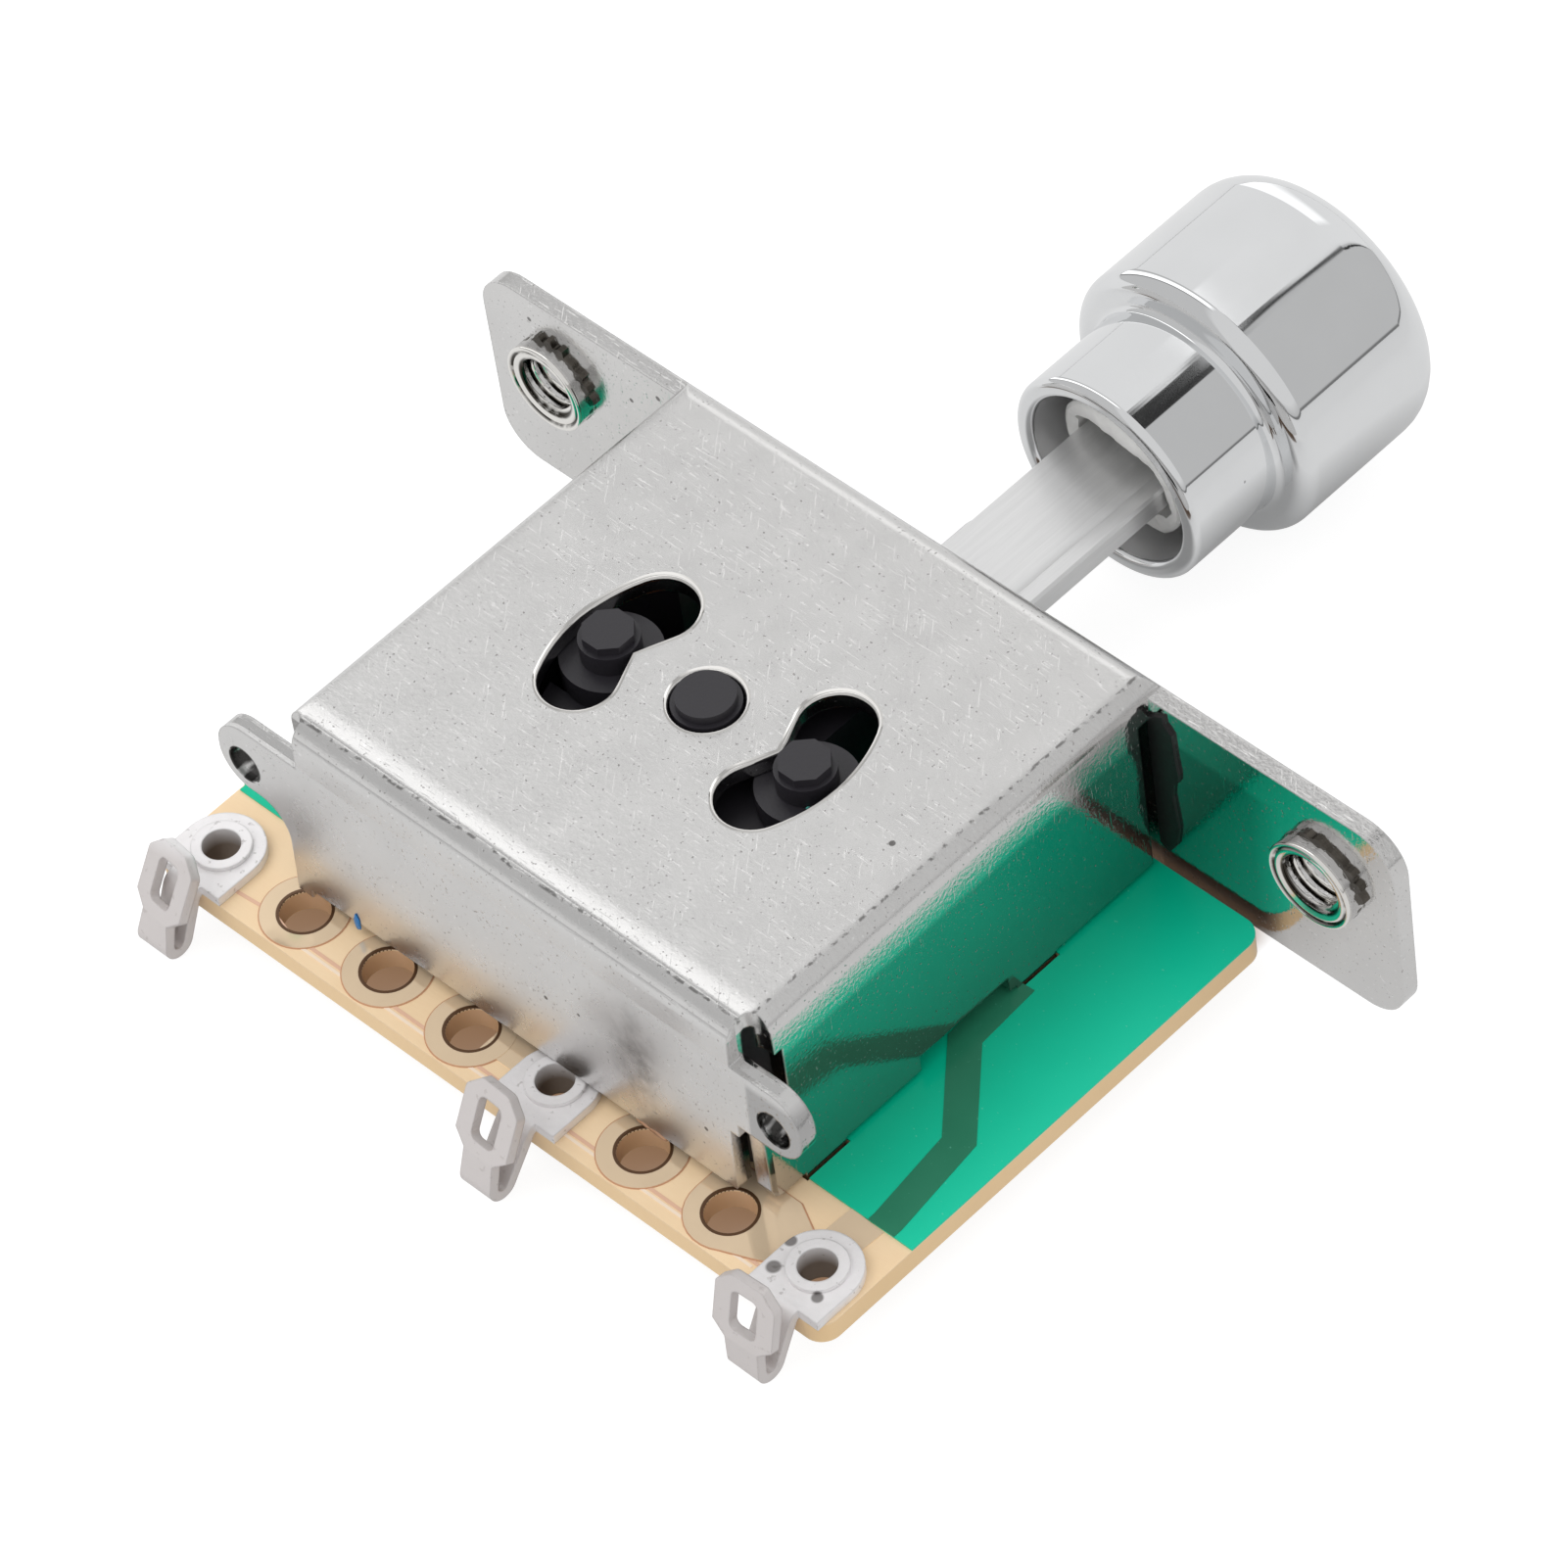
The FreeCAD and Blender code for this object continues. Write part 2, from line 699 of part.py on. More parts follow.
def make_rotor():
    """Black moulding: journal, hub, lever arm, notched nose and the three posts seen from above."""
    y = pivot.y
    parts = [
        rod(hub_dia, rotor_bottom, body_top, 0, y),
        rod(journal_dia, board_level, rotor_bottom + rotor_floor, 0, y),
        box(-arm_width / 2, arm_width / 2, y, y + arm_length, body_bottom, body_top),
        box(-post_ring, post_ring, y - boss_dia / 2, y + boss_dia / 2, body_bottom, body_top),
        rotor_nose(),
    ]
    rotor = fused(parts + side_post(-1) + side_post(1) + centre_post())
    rotor = rotor.cut(blade_channel()).cut(rivet_hole())
    for side in (-1, 1):
        pin_hole = rod(wiper_pin, rotor_bottom - BEYOND, body_bottom + wiper_pin_length, side * post_ring, y)
        rotor = rotor.cut(pin_hole)
    return rotor


def make_blade():
    half_w = blade_width / 2
    half_t = blade_thickness / 2
    blade = box(-half_w, half_w, pivot.y + blade_tail, blade_end, tip_axis - half_t, tip_axis + half_t)
    blade = blade.makeFillet(blade_edge, edges_along(blade, Y_AXIS))
    return blade.cut(rivet_hole())


def make_lever_rivet():
    """Solid rivet that holds the blade in the rotor's arm, with a flat head at each end."""
    y = pivot.y + rivet_out
    shank = rod(rivet_dia, body_bottom, body_top, 0, y)
    upper = rod(rivet_head, body_top, body_top + rivet_head_height, 0, y)
    lower = rod(rivet_head, body_bottom - rivet_head_height, body_bottom, 0, y)
    return fused([shank, upper, lower])


def make_wiper(side):
    """Contact spring under one boss: a leaf with fingers that slide on the copper arc."""
    x = side * post_ring
    y = pivot.y
    half_x = wiper_width / 2
    half_y = wiper_length / 2
    touch = mask_top + running
    parts = [box(x - half_x, x + half_x, y - half_y, y + half_y, body_bottom - wiper_thickness, body_bottom)]
    for end in (-1, 1):
        start = V(0, y + end * half_y, body_bottom - wiper_thickness / 2)
        stop = V(0, y + end * (half_y - wiper_toe), touch + wiper_thickness / 2)
        for row in (-1, 1):
            finger = straight_strip(start, stop, wiper_thickness, wiper_finger)
            finger.translate(V(x + row * (half_x - wiper_finger / 2), 0, 0))
            parts.append(finger)
    wiper = fused(parts)
    wiper = wiper.cut(rod(wiper_pin, 0, cover_top, x, y))
    far = wiper_length
    return wiper.cut(box(x - far, x + far, y - far, y + far, 0, touch))


def make_wiper_rivet(side):
    x = side * post_ring
    seat = body_bottom - wiper_thickness
    head = rod(wiper_pin + 2 * wiper_head_flare, seat - wiper_head_height, seat, x, pivot.y)
    shank = rod(wiper_pin, seat, body_bottom + wiper_pin_length, x, pivot.y)
    return fused([head, shank])


def make_washer():
    washer = rod(hub_dia - 2 * washer_inset, mask_top, mask_top + washer_thickness, pivot.x, pivot.y)
    return washer.cut(rod(journal_dia + 2 * slip, 0, cover_top, pivot.x, pivot.y))


def make_carrier():
    """Black moulding inside the cover: a frame round the rotor, open above and below."""
    side = wall_inner - slip
    frame = box(-side, side, front_inner + slip, -slip, mask_top + slip, cover_under - slip)
    frame = frame.makeChamfer(carrier_corner, edges_along(frame, Z_AXIS))
    cavity = rod(2 * cavity_radius, 0, cover_top, pivot.x, pivot.y)
    swing = math.radians(throw_deg)
    near = (arm_width / 2 + swing_room) / math.cos(swing)
    far = near + pivot_back * math.tan(swing)
    doorway = prism([V(-near, pivot.y, 0), V(near, pivot.y, 0), V(far, 0, 0), V(-far, 0, 0)],
                    V(0, 0, cover_top))
    half = spring_span / 2 + slip
    pocket = box(-half, half, spring_back - slip, pivot.y, body_middle - spring_width / 2 - slip,
                 body_middle + spring_width / 2 + slip)
    return frame.cut(cavity).cut(doorway).cut(pocket)


def make_detent_spring():
    """Flat spring across the pocket, folded in the middle to a nose that drops into a notch."""
    ends = spring_span / 2
    crest = pivot.y - nose_radius + notch_depth - running - spring_thickness
    raised = spring_back + spring_rise
    run = [(-ends, spring_back), (-spring_fold - spring_ramp, raised), (-spring_fold, raised), (0, crest),
           (spring_fold, raised), (spring_fold + spring_ramp, raised), (ends, spring_back)]
    level = body_middle - spring_width / 2
    rear = [V(x, y, level) for x, y in run]
    front = [V(x, y + spring_thickness, level) for x, y in reversed(run)]
    return prism(rear + front, V(0, 0, spring_width))


def quarter_round(corner, back, on):
    """Points along a quarter circle that takes the place of a square corner."""
    centre = corner + back + on
    chords = max(1, round(back.Length * chords_per_mm))
    turns = [math.pi / 2 * i / chords for i in range(chords + 1)]
    return [centre - on * math.cos(turn) - back * math.sin(turn) for turn in turns]


def turned(profile):
    """Solid turned about the tip's axis from square corners given as (radius, y, rounding)."""
    corners = [V(radius, y, 0) for radius, y, rounding in profile]
    points = []
    for i, corner in enumerate(corners):
        rounding = profile[i][2]
        if rounding:
            back = (corners[i - 1] - corner).normalize() * rounding
            on = (corners[(i + 1) % len(corners)] - corner).normalize() * rounding
            points += quarter_round(corner, back, on)
        else:
            points.append(corner)
    wire = Part.makePolygon(points + [points[0]])
    solid = Part.Face(wire).revolve(V(0, 0, 0), Y_AXIS, 360)
    solid.translate(V(0, 0, tip_axis))
    return solid


def make_tip_shell():
    """Bright top-hat cap: a narrow open collar and a wide head with a rounded far end."""
    collar = tip_collar_dia / 2
    head = tip_dia / 2
    bore = tip_bore / 2
    return turned([(bore, tip_stand_off, tip_rim_radius), (collar, tip_stand_off, tip_rim_radius),
                   (collar, tip_shoulder, 0), (head, tip_shoulder, tip_lip_radius),
                   (head, tip_end, tip_end_radius), (0, tip_end, 0), (0, tip_floor, 0), (bore, tip_floor, 0)])


def make_tip_insert():
    """Plastic socket pressed into the cap, with a round mouth and a slot for the blade."""
    near = tip_stand_off + socket_setback
    plug = tip_floor - socket_plug
    outer = socket_dia / 2
    mouth = blade_width / 2 + socket_mouth
    deep = near + socket_mouth_depth
    bore = tip_bore / 2
    socket = turned([(mouth, near, 0), (outer, near, 0), (outer, plug, 0), (bore, plug, 0),
                     (bore, tip_floor, 0), (0, tip_floor, 0), (0, deep, 0), (mouth, deep, 0)])
    half_w = blade_width / 2 + running
    half_t = blade_thickness / 2 + running
    return socket.cut(box(-half_w, half_w, near, blade_end + slip, tip_axis - half_t, tip_axis + half_t))


def build_parts():
    parts = {
        "cover": make_cover(),
        "board": make_board(),
        "solder_mask": make_solder_mask(),
        "contact_tracks": make_contact_tracks(),
        "carrier": make_carrier(),
        "detent_spring": make_detent_spring(),
        "thrust_washer": make_washer(),
        "rotor": make_rotor(),
        "lever_blade": make_blade(),
        "lever_rivet": make_lever_rivet(),
        "tip_shell": make_tip_shell(),
        "tip_insert": make_tip_insert(),
    }
    lug_shapes = zip(lug_lean_deg, lug_twist_deg, lug_reach, lug_lift, lug_neck)
    for name, index, shape in zip(lug_names, lug_positions, lug_shapes):
        parts["lug_" + name] = make_lug(hole_x(index), *shape)
        parts["eyelet_" + name] = make_eyelet(hole_x(index))
    for name, side in (("left", -1), ("right", 1)):
        parts["wiper_" + name] = make_wiper(side)
        parts["wiper_rivet_" + name] = make_wiper_rivet(side)
    return parts


os.makedirs("parts", exist_ok=True)
for name, shape in build_parts().items():
    shape.translate(-mount_centre)
    shape.exportStep(os.path.join("parts", name + ".step"))
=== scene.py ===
import math
import random

import bmesh
import bpy
from mathutils import Matrix, Vector


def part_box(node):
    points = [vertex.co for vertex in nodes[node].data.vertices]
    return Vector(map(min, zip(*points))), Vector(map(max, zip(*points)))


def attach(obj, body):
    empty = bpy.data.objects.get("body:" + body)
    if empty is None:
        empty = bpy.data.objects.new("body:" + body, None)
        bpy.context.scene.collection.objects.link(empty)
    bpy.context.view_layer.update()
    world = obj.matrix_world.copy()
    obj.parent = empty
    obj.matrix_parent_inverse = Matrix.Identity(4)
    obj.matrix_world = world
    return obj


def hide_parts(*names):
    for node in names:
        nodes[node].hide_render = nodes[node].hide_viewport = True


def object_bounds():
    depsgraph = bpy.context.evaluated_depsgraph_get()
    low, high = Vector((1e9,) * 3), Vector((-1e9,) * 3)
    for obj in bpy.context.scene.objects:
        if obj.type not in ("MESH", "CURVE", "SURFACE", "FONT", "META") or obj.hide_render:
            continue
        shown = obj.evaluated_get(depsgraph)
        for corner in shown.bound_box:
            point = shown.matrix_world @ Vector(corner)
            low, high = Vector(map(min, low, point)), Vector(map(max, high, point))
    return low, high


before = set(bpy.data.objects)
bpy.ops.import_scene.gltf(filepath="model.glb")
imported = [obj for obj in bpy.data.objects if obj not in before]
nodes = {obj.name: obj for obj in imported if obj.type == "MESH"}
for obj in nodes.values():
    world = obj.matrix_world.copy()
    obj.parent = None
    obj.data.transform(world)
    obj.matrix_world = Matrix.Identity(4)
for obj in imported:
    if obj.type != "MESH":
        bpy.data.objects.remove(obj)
cad_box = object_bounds()

MM = 0.001

# Camera, fitted to the edges of the photograph: places in millimetres, directions as rows
camera_place = Vector((176.99, -153.19, 262.84)) * MM
camera_right = Vector((0.7169, 0.6893, -0.1046))
camera_up = Vector((-0.4793, 0.5963, 0.6439))
camera_back = Vector((0.5062, -0.4115, 0.7579))
photo_size = 1601
focal_pixels = 9157.8
sensor_width = 36.0

# Lamp and light tent: directions, sizes and plain levels
lamp_direction = Vector((-0.30, -0.38, 0.88))
lamp_distance = 0.5
lamp_size = 0.35
lamp_level = 0.30
sky_level = 0.98
tent_level = 0.84
top_level = 0.53
side_level = 0.74
panel_level = 0.56
gap_level = 0.03
sliver_level = 1.5
band_level = 1.6
front_level = 0.60
back_level = 1.25
horizon_level = 0.2
shoulder_start = 0.4728
shoulder_end = 0.4740
floor_colour = 0.25
floor_bounce_level = 0.34
floor_near_level = 0.80
floor_far_level = 0.70
floor_seen_level = 0.86
shade_colour = (0.27, 0.145, 0.075, 1)
tip_shade = 0.55

# Places in millimetres; marks as (centre, radius)
board_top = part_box("board")[1].z / MM
plate_inside = -0.8
collar_face = -1.45
tap_out = 20.65
wall_side = (11.9, 12.05)
hole_radius = 1.05
hole_row = -24.15
first_hole = -17.13
hole_pitch = 4.68
empty_holes = (1, 2, 3, 5, 6)
wide_pad = 6
ear_left = (-15.5, 0.45)
ear_right = (13.3, 0.60)
dark_reflection_place = (5.8, -23.3, -0.45)
dark_reflection_radius = 1.6
front_marks = [((1.0, -23.4, -1.05), 0.12), ((2.81, -23.4, -0.7), 0.10), ((9.47, -23.4, -2.27), 0.13),
               ((9.27, -23.4, -3.22), 0.11), ((9.82, -12.57, 4.7), 0.16), ((-12.9, -23.1, 3.5), 0.3),
               ((-21.75, -0.8, 2.78), 0.13), ((-16.11, -0.8, 1.77), 0.13), ((-14.42, -0.8, 3.01), 0.15)]
solder_marks = [((14.3, -25.2, -5.05), 0.35), ((16.6, -25.2, -5.05), 0.28), ((13.95, -23.9, -5.05), 0.30)]
cap_pits = [((4.43, 12.24, -1.0), 0.14), ((4.35, 12.97, -1.0), 0.12)]


class Graph:
    """Shader nodes of one material or world, made by short calls."""

    def __init__(self, tree):
        self.tree = tree
        self.tree.nodes.clear()

    def node(self, kind, inputs=None, **settings):
        made = self.tree.nodes.new("ShaderNode" + kind)
        for key, value in settings.items():
            setattr(made, key, value)
        for key, value in (inputs or {}).items():
            self.feed(made.inputs[key], value)
        return made

    def feed(self, socket, value):
        if isinstance(value, bpy.types.NodeSocket):
            self.tree.links.new(value, socket)
        elif isinstance(value, bpy.types.Node):
            self.tree.links.new(value.outputs[0], socket)
        else:
            socket.default_value = value

    def math(self, operation, a, b=0.0):
        return self.node("Math", {0: a, 1: b}, operation=operation).outputs[0]

    def times(self, first, *others):
        for other in others:
            first = self.math("MULTIPLY", first, other)
        return first

    def plus(self, first, *others):
        for other in others:
            first = self.math("ADD", first, other)
        return first

    def minus(self, a, b):
        return self.math("SUBTRACT", a, b)

    def length(self, a, b):
        """Length of a line with the sides a and b."""
        return self.math("SQRT", self.plus(self.times(a, a), self.times(b, b)))

    def distance(self, place, middle):
        """Distance from a fixed middle, both in metres."""
        return self.node("VectorMath", {0: place, 1: middle}, operation="DISTANCE").outputs["Value"]

    def split(self, vector):
        return self.node("SeparateXYZ", {0: vector}).outputs

    def millimetres(self, place):
        """The x, y and z of a place in metres, as millimetres."""
        return self.split(self.stretched(place, 1 / MM, 1 / MM, 1 / MM))

    def stretched(self, place, along, across, other):
        """Coordinates scaled by axis, as for scratches and grain that run one way."""
        return self.node("VectorMath", {0: place, 1: (along, across, other)}, operation="MULTIPLY").outputs[0]

    def span(self, value, start, end):
        """0 where value is at start, 1 where it is at end, and clamped beyond."""
        made = self.node("MapRange", {"Value": value, "From Min": start, "From Max": end}, clamp=True)
        return made.outputs[0]

    def between(self, value, low, high, soft):
        """1 where value lies between low and high, with soft edges."""
        return self.times(self.span(value, low - soft, low + soft), self.span(value, high + soft, high - soft))

    def ramp(self, value, stops):
        """Grey levels set at the places of a scale from 0 to 1."""
        made = self.node("ValToRGB", {0: value})
        elements = made.color_ramp.elements
        for i, (place, level) in enumerate(stops):
            if i in (0, len(stops) - 1):
                element = elements[0 if i == 0 else len(elements) - 1]
                element.position = place
            else:
                element = elements.new(place)
            element.color = grey(level)
        return made.outputs[0]

    def blend(self, factor, a, b):
        made = self.node("Mix", data_type="RGBA")
        self.feed(made.inputs[0], factor)
        self.feed(made.inputs[6], a)
        self.feed(made.inputs[7], b)
        return made.outputs[2]

    def over(self, colour, share, strength, tone):
        """A colour with a tone laid over it, at the given strength, where share is 1."""
        return self.blend(self.times(share, strength), colour, rgb(*tone))

    def noise(self, vector, scale, detail=2.0, roughness=0.5):
        made = self.node("TexNoise", {"Vector": vector, "Scale": scale, "Detail": detail, "Roughness": roughness})
        return made.outputs[0]

    def bump(self, height, strength, distance, normal=None):
        made = self.node("Bump", {"Height": height, "Strength": strength, "Distance": distance})
        if normal is not None:
            self.feed(made.inputs["Normal"], normal)
        return made.outputs[0]


def grey(level):
    return (level, level, level, 1)


def rgb(red, green, blue):
    """Linear colour from the usual 0 to 255 screen values."""
    def linear(value):
        value /= 255
        return value / 12.92 if value <= 0.04045 else ((value + 0.055) / 1.055) ** 2.4
    return (linear(red), linear(green), linear(blue), 1)


def new_material(name):
    material = bpy.data.materials.new(name)
    material.use_nodes = True
    graph = Graph(material.node_tree)
    shader = graph.node("BsdfPrincipled")
    graph.node("OutputMaterial", {"Surface": shader})
    place = graph.node("TexCoord").outputs["Object"]
    return material, graph, shader, place


def set_surface(g, shader, colour, roughness, metallic=0.0, normal=None):
    """Colour, gloss and relief of a material, each a node's output or a value of its own."""
    g.feed(shader.inputs["Base Color"], colour)
    g.feed(shader.inputs["Roughness"], roughness)
    g.feed(shader.inputs["Metallic"], metallic)
    if normal is not None:
        g.feed(shader.inputs["Normal"], normal)


def make_camera():
    data = bpy.data.cameras.new("camera")
    data.sensor_width = sensor_width
    data.lens = focal_pixels / photo_size * sensor_width
    data.clip_start = 0.01
    data.clip_end = 10
    camera = bpy.data.objects.new("camera", data)
    bpy.context.scene.collection.objects.link(camera)
    axes = Matrix((camera_right, camera_up, camera_back)).transposed()
    camera.matrix_world = Matrix.Translation(camera_place) @ axes.to_4x4()
    bpy.context.scene.camera = camera


def spot(g, place, centre, radius, soft=0.3):
    """1 inside a small ball round a place in millimetres, 0 outside."""
    gap = g.distance(place, tuple(value * MM for value in centre))
    return g.span(gap, radius * MM, radius * (1 - soft) * MM)


def spots(g, place, listed):
    """The strongest of several spots given as (centre, radius)."""
    total = 0.0
    for centre, radius in listed:
        total = g.math("MAXIMUM", total, spot(g, place, centre, radius))
    return total


def hole_distance(g, x, y):
    """Distance in plan from the middle of the nearest solder hole, in millimetres."""
    turn = g.math("DIVIDE", g.minus(x, first_hole), hole_pitch)
    aside = g.times(g.minus(turn, g.math("ROUND", turn)), hole_pitch)
    return g.length(aside, g.minus(y, hole_row))


def nickel():
    """Bright plate with a satin top and front wall, fine specks, scratches, marks of handling, and painted shade and
    reflections.
    """
    material, g, shader, place = new_material("nickel")
    x, y, z = g.millimetres(place)
    top_rise, front_face, front_fall, wall_fall = (3.9, 4.62), (-22.6, -23.0), (4.2, 2.6), (4.2, 3.9)
    base_gloss, top_satin, front_satin, cloud_satin, wall_calm = 0.115, 0.10, 0.13, 0.07, 0.45
    top_edge, edge_width, crown_bend = (-22.3, -21.2), 1.1, -0.065 * MM
    flare_top, flare_slope, edge_radius = 2.6, -0.07 * MM, 0.13 * MM
    specks = g.span(g.noise(place, 7200.0, 1.0), 0.69, 0.76)
    dots = g.span(g.noise(place, 4300.0, 1.0), 0.70, 0.77)
    colour = g.blend(g.noise(place, 330.0, 4.0, 0.6), rgb(210, 209, 208), rgb(223, 222, 221))
    colour = g.over(colour, specks, 0.5, (120, 116, 112))
    colour = g.over(colour, dots, 0.35, (248, 248, 248))
    colour = nickel_marks_and_shade(g, place, colour)
    on_top = g.span(z, *top_rise)
    ahead = g.span(y, *front_face)
    front = g.times(ahead, g.span(z, *front_fall))
    cloudy = g.times(g.noise(place, 700.0, 4.0), cloud_satin)
    satin = g.plus(g.times(on_top, top_satin), g.times(front, front_satin), base_gloss, cloudy)
    calm = g.times(g.span(x, *wall_side), g.span(z, *wall_fall), wall_calm)
    roughness = g.times(satin, g.minus(1.0, calm))
    edge_fall = g.times(g.minus(1.0, g.span(y, *top_edge)), edge_width)
    crown = g.times(edge_fall, edge_fall, crown_bend, on_top)
    flare = g.times(ahead, g.math("MINIMUM", z, flare_top), flare_slope)
    soft_edges = g.node("Bevel", {"Radius": edge_radius}, samples=4)
    bent = g.bump(flare, 1.0, 1.0, g.bump(crown, 1.0, 1.0, soft_edges))
    rolled = g.bump(g.noise(place, 5200.0, 3.0), 0.16, 0.00004, bent)
    scratched = g.bump(scratches(g, place), 0.35, -0.00001, rolled)
    set_surface(g, shader, colour, roughness, 1.0, g.bump(specks, 0.6, -0.00002, scratched))
    return material


def scratches(g, place):
    """Fine lines in two directions."""
    lines = g.span(g.noise(g.stretched(place, 1.0, 14.0, 1.0), 900.0), 0.66, 0.74)
    turned = g.node("VectorRotate", {"Vector": place, "Axis": (0.0, 0.0, 1.0), "Angle": 0.9})
    crossed = g.span(g.noise(g.stretched(turned, 1.0, 18.0, 1.0), 700.0), 0.68, 0.76)
    return g.plus(lines, crossed)


def nickel_marks_and_shade(g, place, colour):
    """Painted shade low on the right wall and the plate's right wing and in the bores of the ears, painted dark
    reflections in dashes along the bends and as a patch on the front wall, and small scars.
    """
    foot_rise, wing_end, inner_face = (2.35, 2.0), (18.6, 17.0), (-0.3, -0.7)
    ear_bore, ear_face = (0.90 * MM, 0.86 * MM), (-21.5, -22.0)
    bend_ahead, bend_aside, bend_rise = (-22.46, -22.33), (11.36, 11.48), (4.3, 4.5)
    bend_soft, bend_wander = 0.03, 0.30
    x, y, z = g.millimetres(place)
    # Painted shade: the lower right wall and the inner face of the plate's right wing are toned darker.
    wall_foot_shade = g.times(g.span(x, *wall_side), g.span(z, *foot_rise))
    foot = g.times(wall_foot_shade, g.span(x, *wing_end), g.span(y, *inner_face))
    colour = g.over(colour, foot, 0.34, (30, 30, 30))
    # Painted shade: the bores of the ears are darkened nearly to black, in streaks.
    flat = g.stretched(place, 1.0, 0.0, 1.0)
    from_ears = [g.distance(flat, (ear[0] * MM, 0.0, ear[1] * MM)) for ear in (ear_left, ear_right)]
    bored = g.times(g.span(g.math("MINIMUM", *from_ears), *ear_bore), g.span(y, *ear_face))
    shade_streaks = g.span(g.noise(g.stretched(place, 1.0, 0.3, 1.0), 1500.0), 0.58, 0.50)
    colour = g.over(colour, g.times(bored, shade_streaks), 0.92, (40, 38, 36))
    # Painted reflection: broken dark lines along the front and side bends.
    wander = g.times(g.minus(g.noise(place, 600.0), 0.5), bend_wander)
    front_bend = g.between(g.plus(y, wander), *bend_ahead, bend_soft)
    side_bend = g.between(g.plus(x, wander), *bend_aside, bend_soft)
    dashes = g.span(g.noise(place, 2600.0, 3.0), 0.50, 0.60)
    painted_bend_reflections = g.times(g.math("MAXIMUM", front_bend, side_bend), g.span(z, *bend_rise), dashes)
    colour = g.over(colour, painted_bend_reflections, 0.7, (86, 84, 82))
    colour = g.over(colour, spots(g, place, front_marks), 0.8, (70, 66, 64))
    # Painted reflection: a dark cloudy patch on the front wall.
    painted_reflection = spot(g, g.stretched(place, 1.0, 1.0, 0.42), dark_reflection_place, dark_reflection_radius, soft=0.95)
    patchy = g.span(g.noise(place, 1300.0, 4.0), 0.35, 0.62)
    return g.over(colour, g.times(painted_reflection, patchy), 0.55, (96, 93, 90))


def laminate():
    """Tan paper laminate: fine fibres, a warmer cut edge, brown walls in the solder holes and a rear edge darkened
    brown as painted shade.
    """
    material, g, shader, place = new_material("laminate")
    x, y, z = g.millimetres(place)
    edge, bore, shaded_rear_edge = (board_top - 0.02, board_top - 0.10), (hole_radius + 0.12, hole_radius + 0.05), (-1.6, -1.2)
    fibre = g.noise(g.stretched(place, 1.0, 7.0, 1.0), 1500.0, 3.0)
    cut = g.span(z, *edge)
    bored = g.span(hole_distance(g, x, y), *bore)
    colour = g.blend(g.noise(place, 380.0, 4.0), rgb(243, 216, 179), rgb(229, 197, 155))
    colour = g.over(colour, fibre, 0.25, (250, 228, 190))
    colour = g.over(colour, cut, 0.55, (238, 200, 142))
    colour = g.over(colour, bored, cut, (214, 172, 130))
    # Painted shade: the rear edge is darkened to brown.
    colour = g.over(colour, g.span(y, *shaded_rear_edge), 0.8, (120, 82, 60))
    set_surface(g, shader, colour, 0.38, normal=g.bump(fibre, 0.12, 0.00003))
    return material


def green_lacquer(name="green_lacquer", on_track=False):
    """Glossy green lacquer, lighter towards the board's right edge, darker where a copper track lies beneath."""
    material, g, shader, place = new_material(name)
    light_side = (13.0, 17.6)
    cloud = g.noise(place, 300.0, 4.0)
    if on_track:
        colour = g.blend(cloud, rgb(26, 112, 82), rgb(50, 132, 102))
    else:
        outer = g.span(g.millimetres(place)[0], *light_side)
        colour = g.over(g.blend(cloud, rgb(0, 182, 142), rgb(0, 194, 154)), outer, 0.6, (20, 206, 168))
    dust = g.span(g.noise(place, 6200.0, 1.0), 0.75, 0.80)
    colour = g.over(colour, dust, 0.35, (130, 215, 190))
    shader.inputs["Specular IOR Level"].default_value = 0.3
    set_surface(g, shader, colour, 0.30, normal=g.bump(g.noise(place, 900.0), 0.08, 0.0001))
    return material


def plain(name, colour, roughness, metallic=0.0, grain=800.0, uneven=0.10, relief=0.0):
    """Even finish with a slight cloudiness in its colour and gloss."""
    material, g, shader, place = new_material(name)
    cloud = g.noise(place, grain, 3.0)
    dark = tuple(c * (1 - uneven) for c in colour[:3]) + (1,)
    gloss = g.plus(g.times(cloud, 0.3 * roughness), 0.85 * roughness)
    normal = g.bump(g.noise(place, grain * 4), relief, 0.00005) if relief else None
    set_surface(g, shader, g.blend(cloud, dark, colour), gloss, metallic, normal)
    return material


def threaded():
    """Bright cut metal, darker in the grooves round each tapped hole."""
    material, g, shader, place = new_material("threaded")
    thread_groove, lip_groove = (1.32, 1.50, 0.05), (1.76, 1.90, 0.04)
    x, y, z = g.millimetres(place)
    reach = g.length(g.minus(g.math("ABSOLUTE", x), tap_out), z)
    groove = g.math("MAXIMUM", g.between(reach, *thread_groove), g.between(reach, *lip_groove))
    # Darker in the grooves round each tapped hole.
    groove_dark = g.times(groove, g.span(g.noise(place, 1100.0, 3.0), 0.34, 0.50))
    set_surface(g, shader, g.blend(groove_dark, rgb(236, 234, 230), rgb(58, 54, 48)), 0.09, 1.0)
    return material


